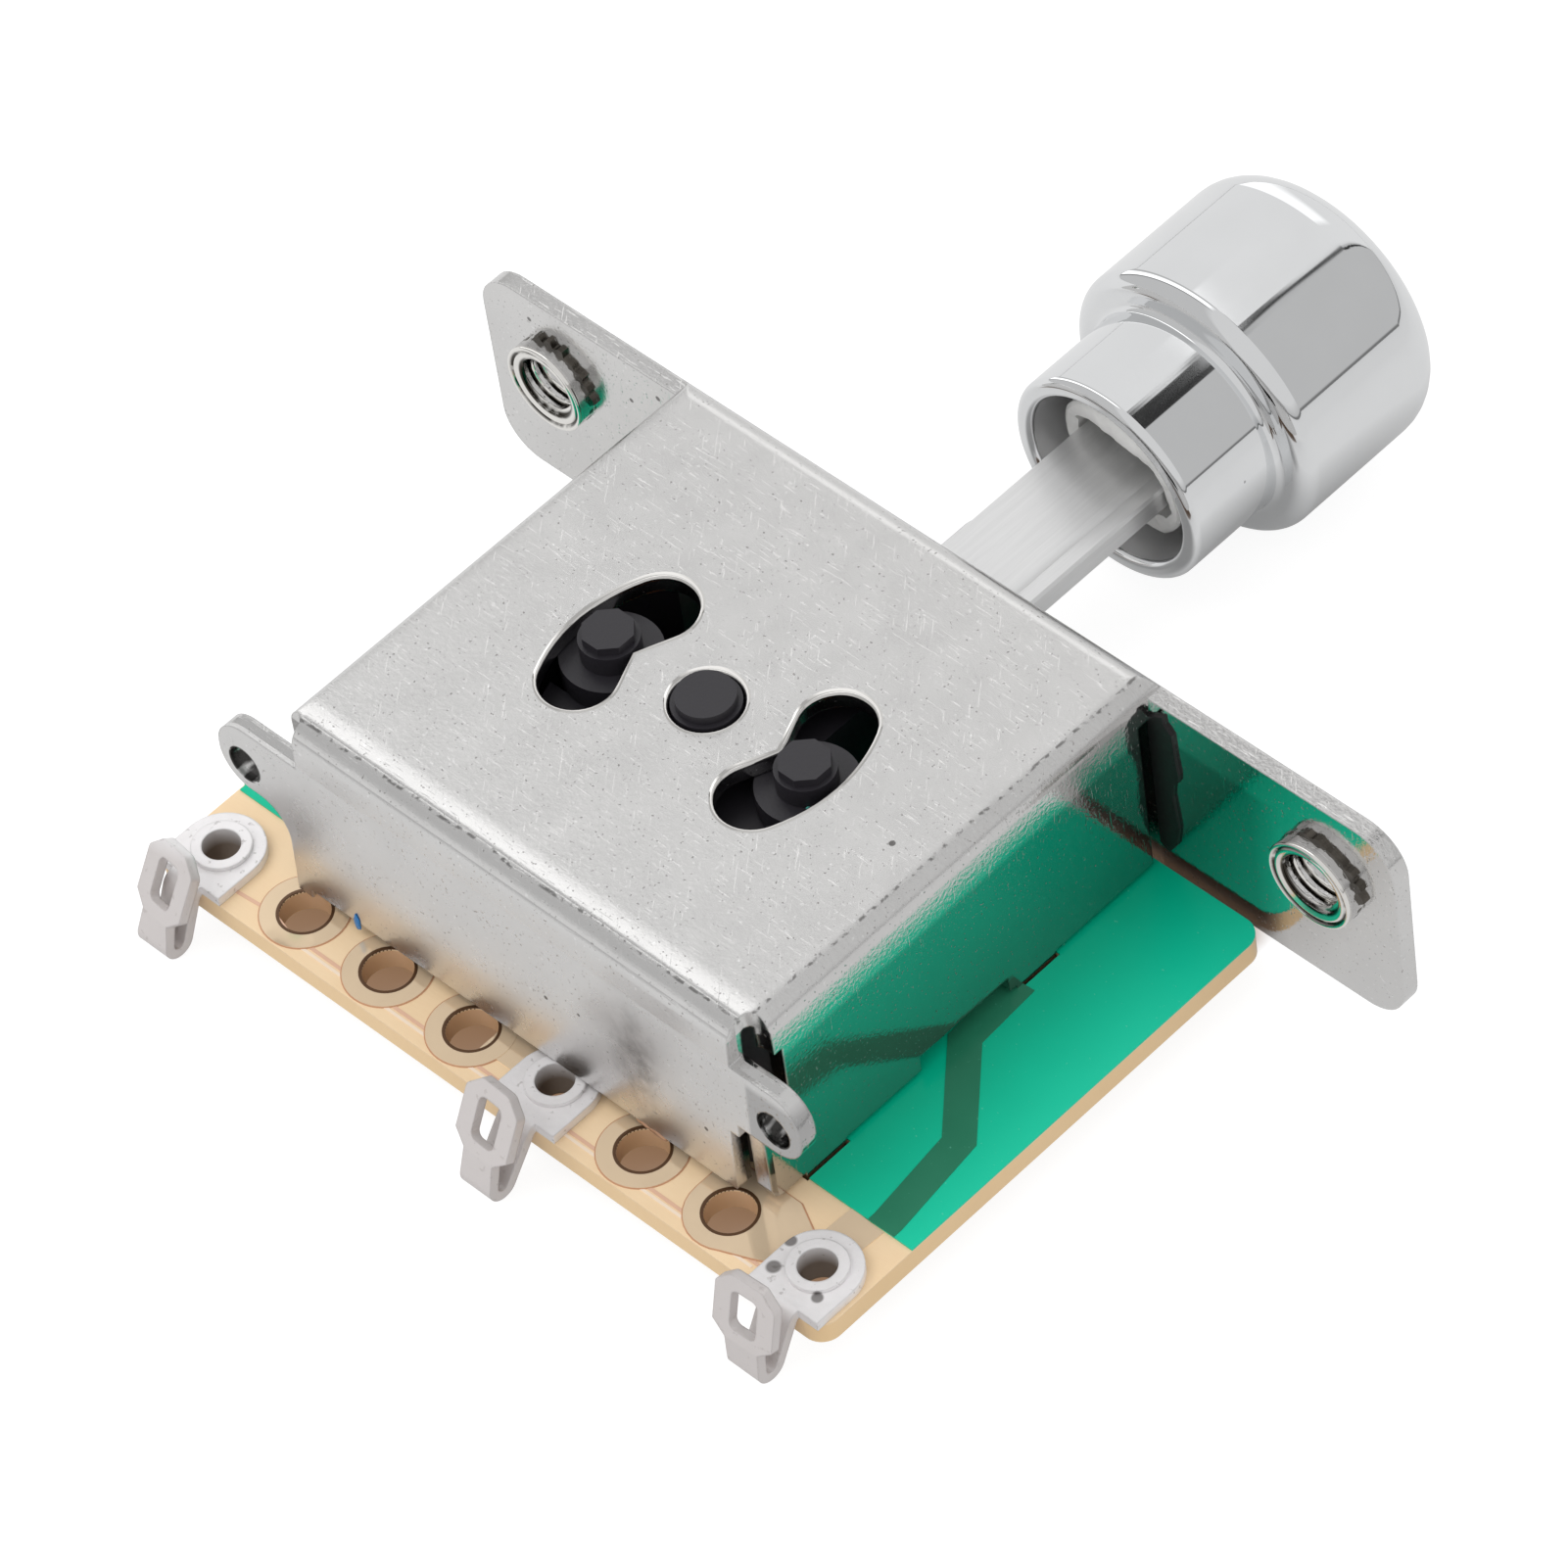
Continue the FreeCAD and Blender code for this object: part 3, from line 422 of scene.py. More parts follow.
def tin():
    """Dull whitish tin with scuffs, small dark pores, painted shade deep in the eyelet bores and the solder marks of
    the right lug.
    """
    material, g, shader, place = new_material("tin")
    x, y, z = g.millimetres(place)
    eyelet_bore, eyelet_depth, lug_bend, edge_radius = (0.92, 0.82), (-4.9, -5.8), (-26.1, -26.6), 0.12 * MM
    cloud = g.noise(place, 950.0, 4.0, 0.6)
    pores = g.span(g.noise(place, 3300.0), 0.64, 0.72)
    bored = g.span(hole_distance(g, x, y), *eyelet_bore)
    colour = g.blend(cloud, rgb(228, 225, 225), rgb(247, 245, 246))
    colour = g.over(colour, pores, 0.4, (130, 122, 118))
    # Painted shade: darker brown-grey deeper down in the eyelet bores.
    colour = g.over(colour, bored, g.span(z, *eyelet_depth), (128, 112, 98))
    colour = g.over(colour, g.span(y, *lug_bend), 0.65, (196, 188, 185))
    colour = g.over(colour, spots(g, place, solder_marks), 0.75, (70, 62, 58))
    soft_edges = g.node("Bevel", {"Radius": edge_radius}, samples=4)
    relief = g.bump(g.noise(place, 2600.0, 3.0), 0.35, 0.00006, soft_edges)
    set_surface(g, shader, colour, g.plus(g.times(cloud, 0.2), 0.38), 0.4, relief)
    return material


def chrome():
    """Mirror chrome with two small pits."""
    material, g, shader, place = new_material("chrome")
    haze = g.noise(place, 400.0, 3.0)
    pits = spots(g, place, cap_pits)
    colour = g.blend(haze, rgb(229, 230, 231), rgb(235, 236, 237))
    colour = g.blend(pits, colour, rgb(90, 88, 86))
    set_surface(g, shader, colour, g.plus(g.times(haze, 0.03), 0.02), 1.0, g.bump(pits, 0.8, -0.00006))
    return material


def rolled_steel():
    """Pale steel brushed along the blade, mottled darker where it enters the socket, partly stain and partly painted
    shade and reflection.
    """
    material, g, shader, place = new_material("rolled_steel")
    socket_mouth = (9.6, 12.2)
    brushed = g.noise(g.stretched(place, 26.0, 1.0, 26.0), 260.0, 4.0, 0.6)
    deep = g.span(g.millimetres(place)[1], *socket_mouth)
    # Partly stain and partly painted shade and reflection: mottled darkening towards the socket's mouth.
    mottled_stain_and_shade = g.times(deep, g.span(g.noise(place, 900.0, 4.0), 0.38, 0.6))
    colour = g.blend(brushed, rgb(210, 210, 210), rgb(230, 230, 230))
    colour = g.over(colour, mottled_stain_and_shade, 0.45, (150, 150, 150))
    set_surface(g, shader, colour, 0.36, 0.8, g.bump(brushed, 0.25, 0.00003))
    return material


def dress(name, material):
    slots = nodes[name].data.materials
    slots.clear()
    slots.append(material)


def dress_nodes():
    """A material for every CAD node that no finer piece replaces; lugs and eyelets are tinned."""
    solder = tin()
    black = plain("black_moulding", rgb(37, 35, 40), 0.42, grain=1500.0, relief=0.15)
    bronze = plain("bronze", rgb(205, 165, 100), 0.35, 1.0)
    steel = plain("steel", rgb(225, 225, 224), 0.3, 1.0)
    finishes = {
        "cover": nickel(), "board": laminate(), "solder_mask": green_lacquer(),
        "contact_tracks": plain("copper", rgb(200, 130, 90), 0.35, 1.0),
        "carrier": black, "rotor": black, "detent_spring": steel,
        "thrust_washer": plain("washer", rgb(235, 230, 215), 0.5), "lever_rivet": steel,
        "wiper_left": bronze, "wiper_right": bronze, "wiper_rivet_left": bronze, "wiper_rivet_right": bronze,
    }
    for name in nodes:
        if name not in ("tip_shell", "tip_insert", "lever_blade"):
            dress(name, finishes.get(name, solder))


def tent_gap(g, turn, y, ragged):
    """Dark gap over the grey panel, with a ragged upper edge that flares at both ends."""
    near_end, far_end, near_flare, far_flare = (0.4650, 0.4622), (0.4680, 0.4716), 6.0, 10.0
    foot, head, tear, soft = (68.0, 69.2), 85.5, 9.0, 0.8
    flare = g.plus(g.times(g.span(y, *near_end), near_flare), g.times(g.span(y, *far_end), far_flare))
    upper = g.plus(flare, head, g.times(ragged, tear))
    gap = g.times(g.span(turn, *foot), g.span(g.minus(turn, upper), soft, -soft))
    return g.times(gap, g.span(y, shoulder_end, shoulder_start))


def tent_line(g, turn, y, ragged):
    """Dark line that takes the gap's place in the cap's head, thinner and lower towards the far end."""
    foot, tear, soft = 75.6, 3.0, 0.5
    sinking, sink, swelling, swell, thin = (0.4800, 0.4900), 5.0, (0.4850, 0.4760), 1.2, 1.3
    lowered = g.plus(turn, g.times(g.span(y, *sinking), sink))
    width = g.plus(g.times(g.span(y, *swelling), swell), thin)
    aside = g.math("ABSOLUTE", g.minus(lowered, g.plus(g.times(ragged, tear), foot)))
    return g.times(g.span(g.minus(aside, width), soft, -soft), g.span(y, shoulder_start, shoulder_end))


def tent_sliver(g, turn, y):
    """Bright sliver beyond the gap, where the collar runs into the shoulder."""
    turns, turn_soft, bending, bend = (74.0, 122.0), 1.5, (96.0, 74.0), 0.0009
    start, start_soft, end = 0.4713, 0.0002, (0.4750, 0.4735)
    edge = g.plus(g.times(g.span(turn, *bending), bend), start)
    sliver = g.times(g.between(turn, *turns, turn_soft), g.span(g.minus(y, edge), 0.0, start_soft))
    return g.times(sliver, g.span(y, *end))


def make_world():
    """Pale tent for light and reflections, white to the camera.

    A grey panel stands to the right, with a dark gap and a bright sliver over it and a dark line at its foot.
    A bright band runs overhead, in front of it the tent is greyer. Turns are degrees about the lever's line,
    from the right over the top; y is a direction's share along that line."""
    world = bpy.data.worlds.new("tent")
    world.use_nodes = True
    bpy.context.scene.world = world
    g = Graph(world.node_tree)
    direction = g.node("TexCoord").outputs["Generated"]
    x, y, z = g.split(direction)
    turn = g.math("DIVIDE", g.math("ARCTAN2", z, x), math.pi / 180)
    ragged = g.minus(g.noise(direction, 32.0, 1.5), 0.5)
    panel_foot, panel_head, overhead_start = (1.5, 3.0), (74.5, 73.5), (96.0, 104.0)
    bend_shares, bend_turns = (0.458, 0.448), (4.0, 12.0)
    side = g.ramp(g.math("DIVIDE", turn, 180.0),
                  [(0.0, horizon_level), (0.010, horizon_level), (0.018, panel_level), (0.36, panel_level),
                   (0.43, tent_level), (1.0, tent_level)])
    panel = g.times(g.span(turn, *panel_head), g.span(turn, *panel_foot))
    level = g.blend(panel, side, grey(panel_level))
    dark = g.math("MAXIMUM", tent_gap(g, turn, y, ragged), tent_line(g, turn, y, ragged))
    level = g.blend(dark, level, grey(gap_level))
    low_bend = g.times(g.span(y, *bend_shares), g.span(turn, *bend_turns))
    level = g.blend(low_bend, level, grey(side_level))
    overhead = g.ramp(y, [(0.0, front_level), (0.02, horizon_level), (0.07, horizon_level), (0.10, band_level),
                          (0.30, band_level), (0.37, top_level), (0.440, top_level), (0.455, tent_level),
                          (0.495, tent_level), (0.53, back_level), (0.70, back_level), (0.80, tent_level),
                          (1.0, tent_level)])
    level = g.blend(g.span(turn, *overhead_start), level, overhead)
    level = g.blend(tent_sliver(g, turn, y), level, grey(sliver_level))
    rays = g.node("LightPath").outputs
    level = g.blend(rays["Is Glossy Ray"], grey(sky_level), level)
    colour = g.blend(rays["Is Camera Ray"], level, grey(1))
    background = g.node("Background", {"Color": colour, "Strength": 1.0})
    g.node("OutputWorld", {"Surface": background})


def make_lamp():
    """Soft square lamp that shines towards the origin and is not mirrored."""
    data = bpy.data.lights.new("softbox", "AREA")
    data.shape = "SQUARE"
    data.size = lamp_size
    data.energy = lamp_level * math.pi ** 2 * lamp_distance ** 2
    lamp = bpy.data.objects.new("softbox", data)
    bpy.context.scene.collection.objects.link(lamp)
    direction = lamp_direction.normalized()
    lamp.location = direction * lamp_distance
    lamp.rotation_euler = direction.to_track_quat("Z", "Y").to_euler()
    lamp.visible_glossy = False


def floor_material():
    """White table top with painted shadows: its own glow is weaker under the board and round the cap, where shadows
    lie.
    """
    material = bpy.data.materials.new("floor")
    material.use_nodes = True
    g = Graph(material.node_tree)
    rays = g.node("LightPath").outputs
    place = g.node("NewGeometry").outputs["Position"]
    x, y, z = g.millimetres(place)
    low, high = (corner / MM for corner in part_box("board"))
    inset, soft, gap, side_soft, end_soft = 1.5, 0.5, 1, 2, 1.5
    tip_reach, far_side, under_shade, before_shade = (13 * MM, 5 * MM), (-15, 40), 0.6, 0.7
    under = g.times(g.between(x, low.x + inset, high.x - inset, soft),
                    g.between(y, low.y + inset, high.y + inset, soft))
    tip_low, tip_high = (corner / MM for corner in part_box("tip_shell"))
    tip_middle = (tip_low + tip_high) / 2 * MM
    from_tip = g.distance(place, (tip_middle.x, tip_middle.y, cad_box[0].z))
    round_tip = g.times(g.span(from_tip, *tip_reach), tip_shade)
    beneath_blade = g.between(y, gap, tip_low.y - gap, end_soft)
    before_tip = g.times(g.between(x, tip_low.x, tip_high.x, side_soft), beneath_blade, before_shade)
    lit = g.times(g.minus(1.0, g.math("MAXIMUM", round_tip, before_tip)), g.minus(1.0, g.times(under, under_shade)))
    far = g.times(g.span(x, *far_side), floor_near_level - floor_far_level)
    mirrored = g.times(rays["Is Glossy Ray"], g.minus(floor_near_level - floor_colour, far), lit)
    bounce = g.times(rays["Is Diffuse Ray"], floor_bounce_level, g.minus(1.0, under))
    glow = g.node("Emission", {"Color": g.blend(under, grey(1), shade_colour),
                               "Strength": g.plus(g.times(rays["Is Camera Ray"], floor_seen_level), mirrored, bounce)})
    paint = g.node("BsdfDiffuse", {"Color": grey(floor_colour)})
    g.node("OutputMaterial", {"Surface": g.node("AddShader", {0: glow, 1: paint})})
    return material


def make_floor():
    mesh = bpy.data.meshes.new("floor")
    half, level = 2.0, cad_box[0].z
    corners = [(-half, -half, level), (half, -half, level), (half, half, level), (-half, half, level)]
    mesh.from_pydata(corners, [], [(0, 1, 2, 3)])
    mesh.materials.append(floor_material())
    floor = bpy.data.objects.new("floor", mesh)
    bpy.context.scene.collection.objects.link(floor)


def add_piece(name, form, material, slot, body="switch_body", smooth=None):
    """Puts a bmesh built in millimetres into the scene and lets it ride on a body."""
    bmesh.ops.recalc_face_normals(form, faces=form.faces)
    mesh = bpy.data.meshes.new(name)
    form.to_mesh(mesh)
    form.free()
    mesh.transform(Matrix.Scale(MM, 4))
    mesh.materials.append(material)
    if smooth is not None:
        mesh.polygons.foreach_set("use_smooth", [True] * len(mesh.polygons))
        mesh.set_sharp_from_angle(angle=math.radians(smooth))
    piece = bpy.data.objects.new(name, mesh)
    bpy.context.scene.collection.objects.link(piece)
    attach(piece, body)
    return piece


def circle(x, y, radius, steps=48):
    turn = 2 * math.pi / steps
    return [(x + radius * math.cos(turn * i), y + radius * math.sin(turn * i)) for i in range(steps)]


def slab(form, outlines, low, high):
    """Flat plate between two levels; outlines are its outer edge and then any holes."""
    edges = []
    for outline in outlines:
        verts = [form.verts.new((x, y, low)) for x, y in outline]
        edges += [form.edges.new((a, b)) for a, b in zip(verts, verts[1:] + verts[:1])]
    faces = bmesh.ops.triangle_fill(form, edges=edges, use_beauty=True)["geom"]
    faces = [f for f in faces if isinstance(f, bmesh.types.BMFace)]
    raised = bmesh.ops.extrude_face_region(form, geom=faces, use_keep_orig=True)["geom"]
    verts = [v for v in raised if isinstance(v, bmesh.types.BMVert)]
    bmesh.ops.translate(form, verts=verts, vec=(0, 0, high - low))


def bridge(form, a, b):
    """Faces between two closed rings of as many points."""
    for i in range(len(a)):
        j = (i + 1) % len(a)
        form.faces.new((a[i], a[j], b[j], b[i]))


def lay_against_plate(form, face):
    """Turns a flat form up, so that it stands against the mounting plate's inner face."""
    for vert in form.verts:
        x, z, depth = vert.co
        vert.co = (x, face - depth, z)


def ribbon(points, width):
    """Outline of a strip of even width along a bent line."""
    sharpest = 0.4
    sides = ([], [])
    points = [Vector(p) for p in points]
    for i, point in enumerate(points):
        before = (point - points[i - 1]).normalized() if i else (points[1] - point).normalized()
        after = (points[i + 1] - point).normalized() if i < len(points) - 1 else before
        middle = (before + after).normalized()
        out = Vector((-middle.y, middle.x)) * (width / 2 / max(sharpest, middle.dot(before)))
        sides[0].append(tuple(point + out))
        sides[1].append(tuple(point - out))
    return sides[0] + sides[1][::-1]


def rounded(corners, steps=9, held=0.04):
    """Closed outline of (radius, y) points with each corner's rounding drawn as an arc.

    A short straight length is held beside each arc, so that shading stays flat along the sides."""
    line = []
    for i, (radius, y, rounding) in enumerate(corners):
        here = Vector((radius, y))
        if not rounding:
            line.append(here)
            continue
        to_last = (Vector(corners[i - 1][:2]) - here).normalized()
        to_next = (Vector(corners[(i + 1) % len(corners)][:2]) - here).normalized()
        half = to_last.angle(to_next) / 2
        centre = here + (to_last + to_next).normalized() * (rounding / math.sin(half))
        start = here + to_last * (rounding / math.tan(half)) - centre
        end = here + to_next * (rounding / math.tan(half)) - centre
        turn = start.angle_signed(end)
        line.append(centre + start + to_last * held)
        for k in range(steps + 1):
            line.append(centre + Matrix.Rotation(-turn * k / steps, 2) @ start)
        line.append(centre + end + to_next * held)
    return line


def lathe(form, line, centre, steps=160, closed=True):
    """Turns (radius, y) points about a line along y through centre = (x, z)."""
    rings = []
    for radius, y in line:
        if radius < 1e-6:
            rings.append([form.verts.new((centre[0], y, centre[1]))])
            continue
        turn = 2 * math.pi / steps
        rings.append([form.verts.new((centre[0] + radius * math.cos(turn * i), y,
                                      centre[1] + radius * math.sin(turn * i))) for i in range(steps)])
    for a, b in zip(rings, rings[1:] + rings[:1] if closed else rings[1:]):
        if len(a) == 1 and len(b) == 1:
            continue
        for i in range(steps):
            j = (i + 1) % steps
            corners = [a[i % len(a)], a[j % len(a)], b[j % len(b)], b[i % len(b)]]
            form.faces.new(list(dict.fromkeys(corners)))
    return rings


def make_tip():
    """Bright top-hat cap, finely turned, with a duller bore and a plastic socket in it."""
    low, high = (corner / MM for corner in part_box("tip_shell"))
    axis = ((low.x + high.x) / 2, (low.z + high.z) / 2)
    collar_step, bore_step, collar_length, crown_thickness = 1.45, 2.3, 5.0, 2.9
    mouth_inside, mouth_outside, neck_round, shoulder_round, crown_round = 0.28, 0.35, 0.30, 0.75, 2.0
    head = (high.x - low.x) / 2
    collar, bore = head - collar_step, head - bore_step
    shoulder, floor = low.y + collar_length, high.y - crown_thickness
    form = bmesh.new()
    line = rounded([(bore, low.y, mouth_inside), (collar, low.y, mouth_outside), (collar, shoulder, neck_round),
                    (head, shoulder, shoulder_round), (head, high.y, crown_round), (0, high.y, 0), (0, floor, 0),
                    (bore, floor, 0)])
    lathe(form, line, axis)
    for face in form.faces:
        middle = face.calc_center_median()
        reach = math.hypot(middle.x - axis[0], middle.z - axis[1])
        face.material_index = 1 if reach < bore + 0.06 and low.y + 0.3 < middle.y < floor + 0.1 else 0
    shell = add_piece("tip_cap", form, chrome(), "chrome_cap", "lever", smooth=35)
    shell.data.materials.append(plain("bore_grey", rgb(240, 240, 241), 0.34, 0.7, grain=300.0, uneven=0.08))
    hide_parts("tip_shell")
    make_socket(axis, bore, floor)


def make_socket(axis, bore, floor):
    """Socket with an oblong mouth, whose torn rim comes further out on its upper right."""
    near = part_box("tip_insert")[0].y / MM
    outer, inner, deep, steps = 3.3, 2.0, near + 2.6, 96
    line = [(inner, near + 0.05), (inner + 0.2, near), (outer - 0.15, near), (outer, near + 0.12),
            (outer, near + 5.4), (bore - 0.02, near + 5.6), (bore - 0.02, floor), (0, floor), (0, deep),
            (inner * 0.6, deep), (inner, deep - 0.1), (inner, near + 1.2)]
    rim_rings, outer_rings, floor_ring = (0, 1, 2, 3), (2, 3), 9
    torn_shares = {0: 1.0, 1: 1.0, 2: 0.3, 3: 0.1, floor_ring: 0.0, 10: 0.0, 11: 0.3}
    half_width, half_height, floor_share = 2.68, 2.0, 0.6
    furthest, furthest_turn, tear_outward, tear_inward = 0.85, math.radians(55), 0.16, 0.14
    lump_place, lump_radii = Vector((0.35, near + 0.1, -4.05)), (1.3, 0.5, 0.75)
    form = bmesh.new()
    rings = lathe(form, line, axis, steps=steps)
    wobble = random.Random(7)
    tears = [wobble.uniform(-1, 1) for _ in range(steps + 1)]
    for i in range(steps):
        tear = 0.5 * tears[i // 3] + 0.5 * tears[(i // 7) % 32]
        turn = 2 * math.pi * i / steps
        across, up = abs(math.cos(turn)) / half_width, abs(math.sin(turn)) / half_height
        opening = (across ** 3 + up ** 3) ** (-1 / 3)
        further = furthest * (0.5 + 0.5 * math.cos(turn - furthest_turn))
        out = Vector((math.cos(turn), 0, math.sin(turn)))
        for ring, share in torn_shares.items():
            vert = rings[ring][i]
            if ring not in outer_rings:
                vert.co += out * ((opening - inner) * (floor_share if ring == floor_ring else 1.0))
            if ring in rim_rings:
                vert.co.y -= further
            vert.co += out * (tear_outward * tear * share)
            vert.co.y += tear_inward * abs(tear) * share
    add_lump(form, lump_place, lump_radii, wobble)
    plastic = plain("white_plastic", rgb(240, 240, 238), 0.35, grain=1200.0, uneven=0.05, relief=0.2)
    insert = add_piece("tip_socket", form, plastic, "white_plastic", "lever", smooth=40)
    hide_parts("tip_insert")


def add_lump(form, centre, radii, wobble):
    """Uneven small blob, such as a lump of plastic, a speck or a burr."""
    wave, grain = 0.10, 0.03
    made = bmesh.ops.create_icosphere(form, subdivisions=3, radius=1.0)["verts"]
    for vert in made:
        swell = 1 + wave * math.sin(5 * vert.co.x + 3 * vert.co.z) + grain * wobble.uniform(-1, 1)
        vert.co = centre + Vector((vert.co.x * radii[0], vert.co.y * radii[1], vert.co.z * radii[2])) * swell


def make_blade():
    """Flat blade with faint lengthwise ridges on top and a small jog in its left edge."""
    low, high = (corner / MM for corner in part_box("lever_blade"))
    width, edge, jog = 5.0, 0.12, 0.14
    jog_start, jog_end = 4.55, 4.75
    ridges = [(3.55, 0.05), (3.75, 0.0), (4.05, 0.0), (4.2, 0.07), (4.4, 0.0), (4.75, 0.02)]
    profile = [(edge, 0.0), (1.1, 0.015), (2.3, 0.0)] + ridges + [(width - edge, 0.03), (width, edge + 0.03)]
    top = [(x, high.z - drop) for x, drop in profile]
    under = [(width, low.z + edge), (width - edge, low.z), (edge, low.z), (0.0, low.z + edge), (0.0, high.z - edge)]
    section = top + under
    form = bmesh.new()
    rings = []
    for y, shift in ((low.y, 0.0), (jog_start, 0.0), (jog_end, jog), (high.y, jog)):
        rings.append([form.verts.new((low.x + (max(x, shift) if x < 1 else x), y, z)) for x, z in section])
    for a, b in zip(rings, rings[1:]):
        bridge(form, a, b)
    form.faces.new(rings[0])
    form.faces.new(rings[-1])
    bmesh.ops.remove_doubles(form, verts=form.verts, dist=1e-4)
    bmesh.ops.dissolve_degenerate(form, edges=form.edges, dist=1e-4)
    blade = add_piece("blade", form, rolled_steel(), "blade_steel", "lever", smooth=30)
    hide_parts("lever_blade")


def side_name(name, side):
    return name + ("_right" if side > 0 else "_left")


def make_thread(side, finish):
    """Helical thread inside a tapped collar, fading out at both ends."""
    centre = (side * tap_out, 0.0)
    root, crest, pitch, wall = 1.46, 1.18, 0.46, 0.03
    near, far = -1.42, -0.03
    steps, rows = 64, 36
    form = bmesh.new()
    line = [(root, near + (far - near) * k / rows) for k in range(rows)] + [(root, far)]
    rings = lathe(form, line, centre, steps=steps, closed=False)
    for ring in rings:
        for i, vert in enumerate(ring):
            wave = 0.5 + 0.5 * math.cos(2 * math.pi * (vert.co.y / pitch - i / steps))
            radius = crest + (root - crest) * min(1.0, 1.6 * wave)
            fade = min(1.0, 6 * min(vert.co.y - near, far - vert.co.y) / (far - near))
            radius = root + (radius - root) * max(0.0, fade)
            turn = 2 * math.pi * i / steps
            vert.co.x = centre[0] + radius * math.cos(turn)
            vert.co.z = centre[1] + radius * math.sin(turn)
    back = lathe(form, [(root + wall, far), (root + wall, near)], centre, steps=steps, closed=False)
    bridge(form, rings[-1], back[0])
    bridge(form, back[1], rings[0])
    add_piece(side_name("thread", side), form, finish, "nickel_sheet", smooth=50)


def make_lip(side, finish):
    """Dished and grooved lip round the mouth of a tapped collar."""
    profile = [(2.06, 0.02), (2.06, -0.10), (2.02, -0.15), (1.95, -0.15), (1.88, -0.08), (1.80, -0.03),
               (1.72, -0.10), (1.64, -0.11), (1.56, -0.02), (1.47, -0.03), (1.40, 0.02)]
    form = bmesh.new()
    lathe(form, [(radius, collar_face + rise) for radius, rise in profile], (side * tap_out, 0.0), steps=72)
    add_piece(side_name("lip", side), form, finish, "nickel_sheet", smooth=60)


def make_tooth_ring(side, finish):
    """Ring of uneven teeth pressed out round a collar's root, full height only on its upper right; its dark finish is
    painted shade and reflection.
    """
    wobble = random.Random(11 + side)
    teeth, root, proud, sunk = 22, 2.03, 0.2, 0.01
    first_turn, last_turn = -6, 118
    low_reach, high_reach, foot_reach, worn_reach = 0.14, 0.46, 0.12, 0.03
    outline = []
    for k in range(teeth):
        middle = math.degrees(2 * math.pi * (k + 0.4) / teeth)
        present = first_turn < (middle + 180) % 360 - 180 < last_turn
        reach = root + (wobble.uniform(low_reach, high_reach) if present else worn_reach)
        foot = root + (foot_reach if present else worn_reach)
        for share, radius in ((0.0, foot), (0.22, reach), (0.58, reach - 0.05), (0.84, foot)):
            turn = 2 * math.pi * (k + share) / teeth
            outline.append((side * tap_out + radius * math.cos(turn), radius * math.sin(turn)))
    form = bmesh.new()
    slab(form, [outline, circle(side * tap_out, 0.0, root - 0.02)], 0.0, proud)
    lay_against_plate(form, plate_inside + sunk)
    add_piece(side_name("teeth", side), form, finish, "nickel_sheet")


def make_collars():
    cut = threaded()
    # Painted shade and reflection: the dark finish of the tooth rings.
    shade_dark_nickel = plain("shade_dark_nickel_finish", rgb(128, 122, 114), 0.28, 1.0, grain=1900.0, uneven=0.85)
    for side in (-1, 1):
        make_thread(side, cut)
        make_lip(side, cut)
        make_tooth_ring(side, shade_dark_nickel)


def pad_outline(hole, radius):
    """Round copper pad, or for the last hole a pad that widens towards the wall and the right lug."""
    x = first_hole + hole_pitch * hole
    if hole != wide_pad:
        return circle(x, hole_row, radius)
    usual, wall_edge = 1.9, -22.1
    grow = radius - usual
    arc = [math.radians(180 + 12 * k) for k in range(11)]
    under = [(x + radius * math.cos(a), hole_row + radius * math.sin(a)) for a in arc]
    right = [(13.2 + grow, -25.3 - grow), (14.6 + grow, -24.6), (14.6 + grow, -23.0 + grow),
             (x + usual + grow, wall_edge + grow), (x - radius, wall_edge + grow)]
    return under + right


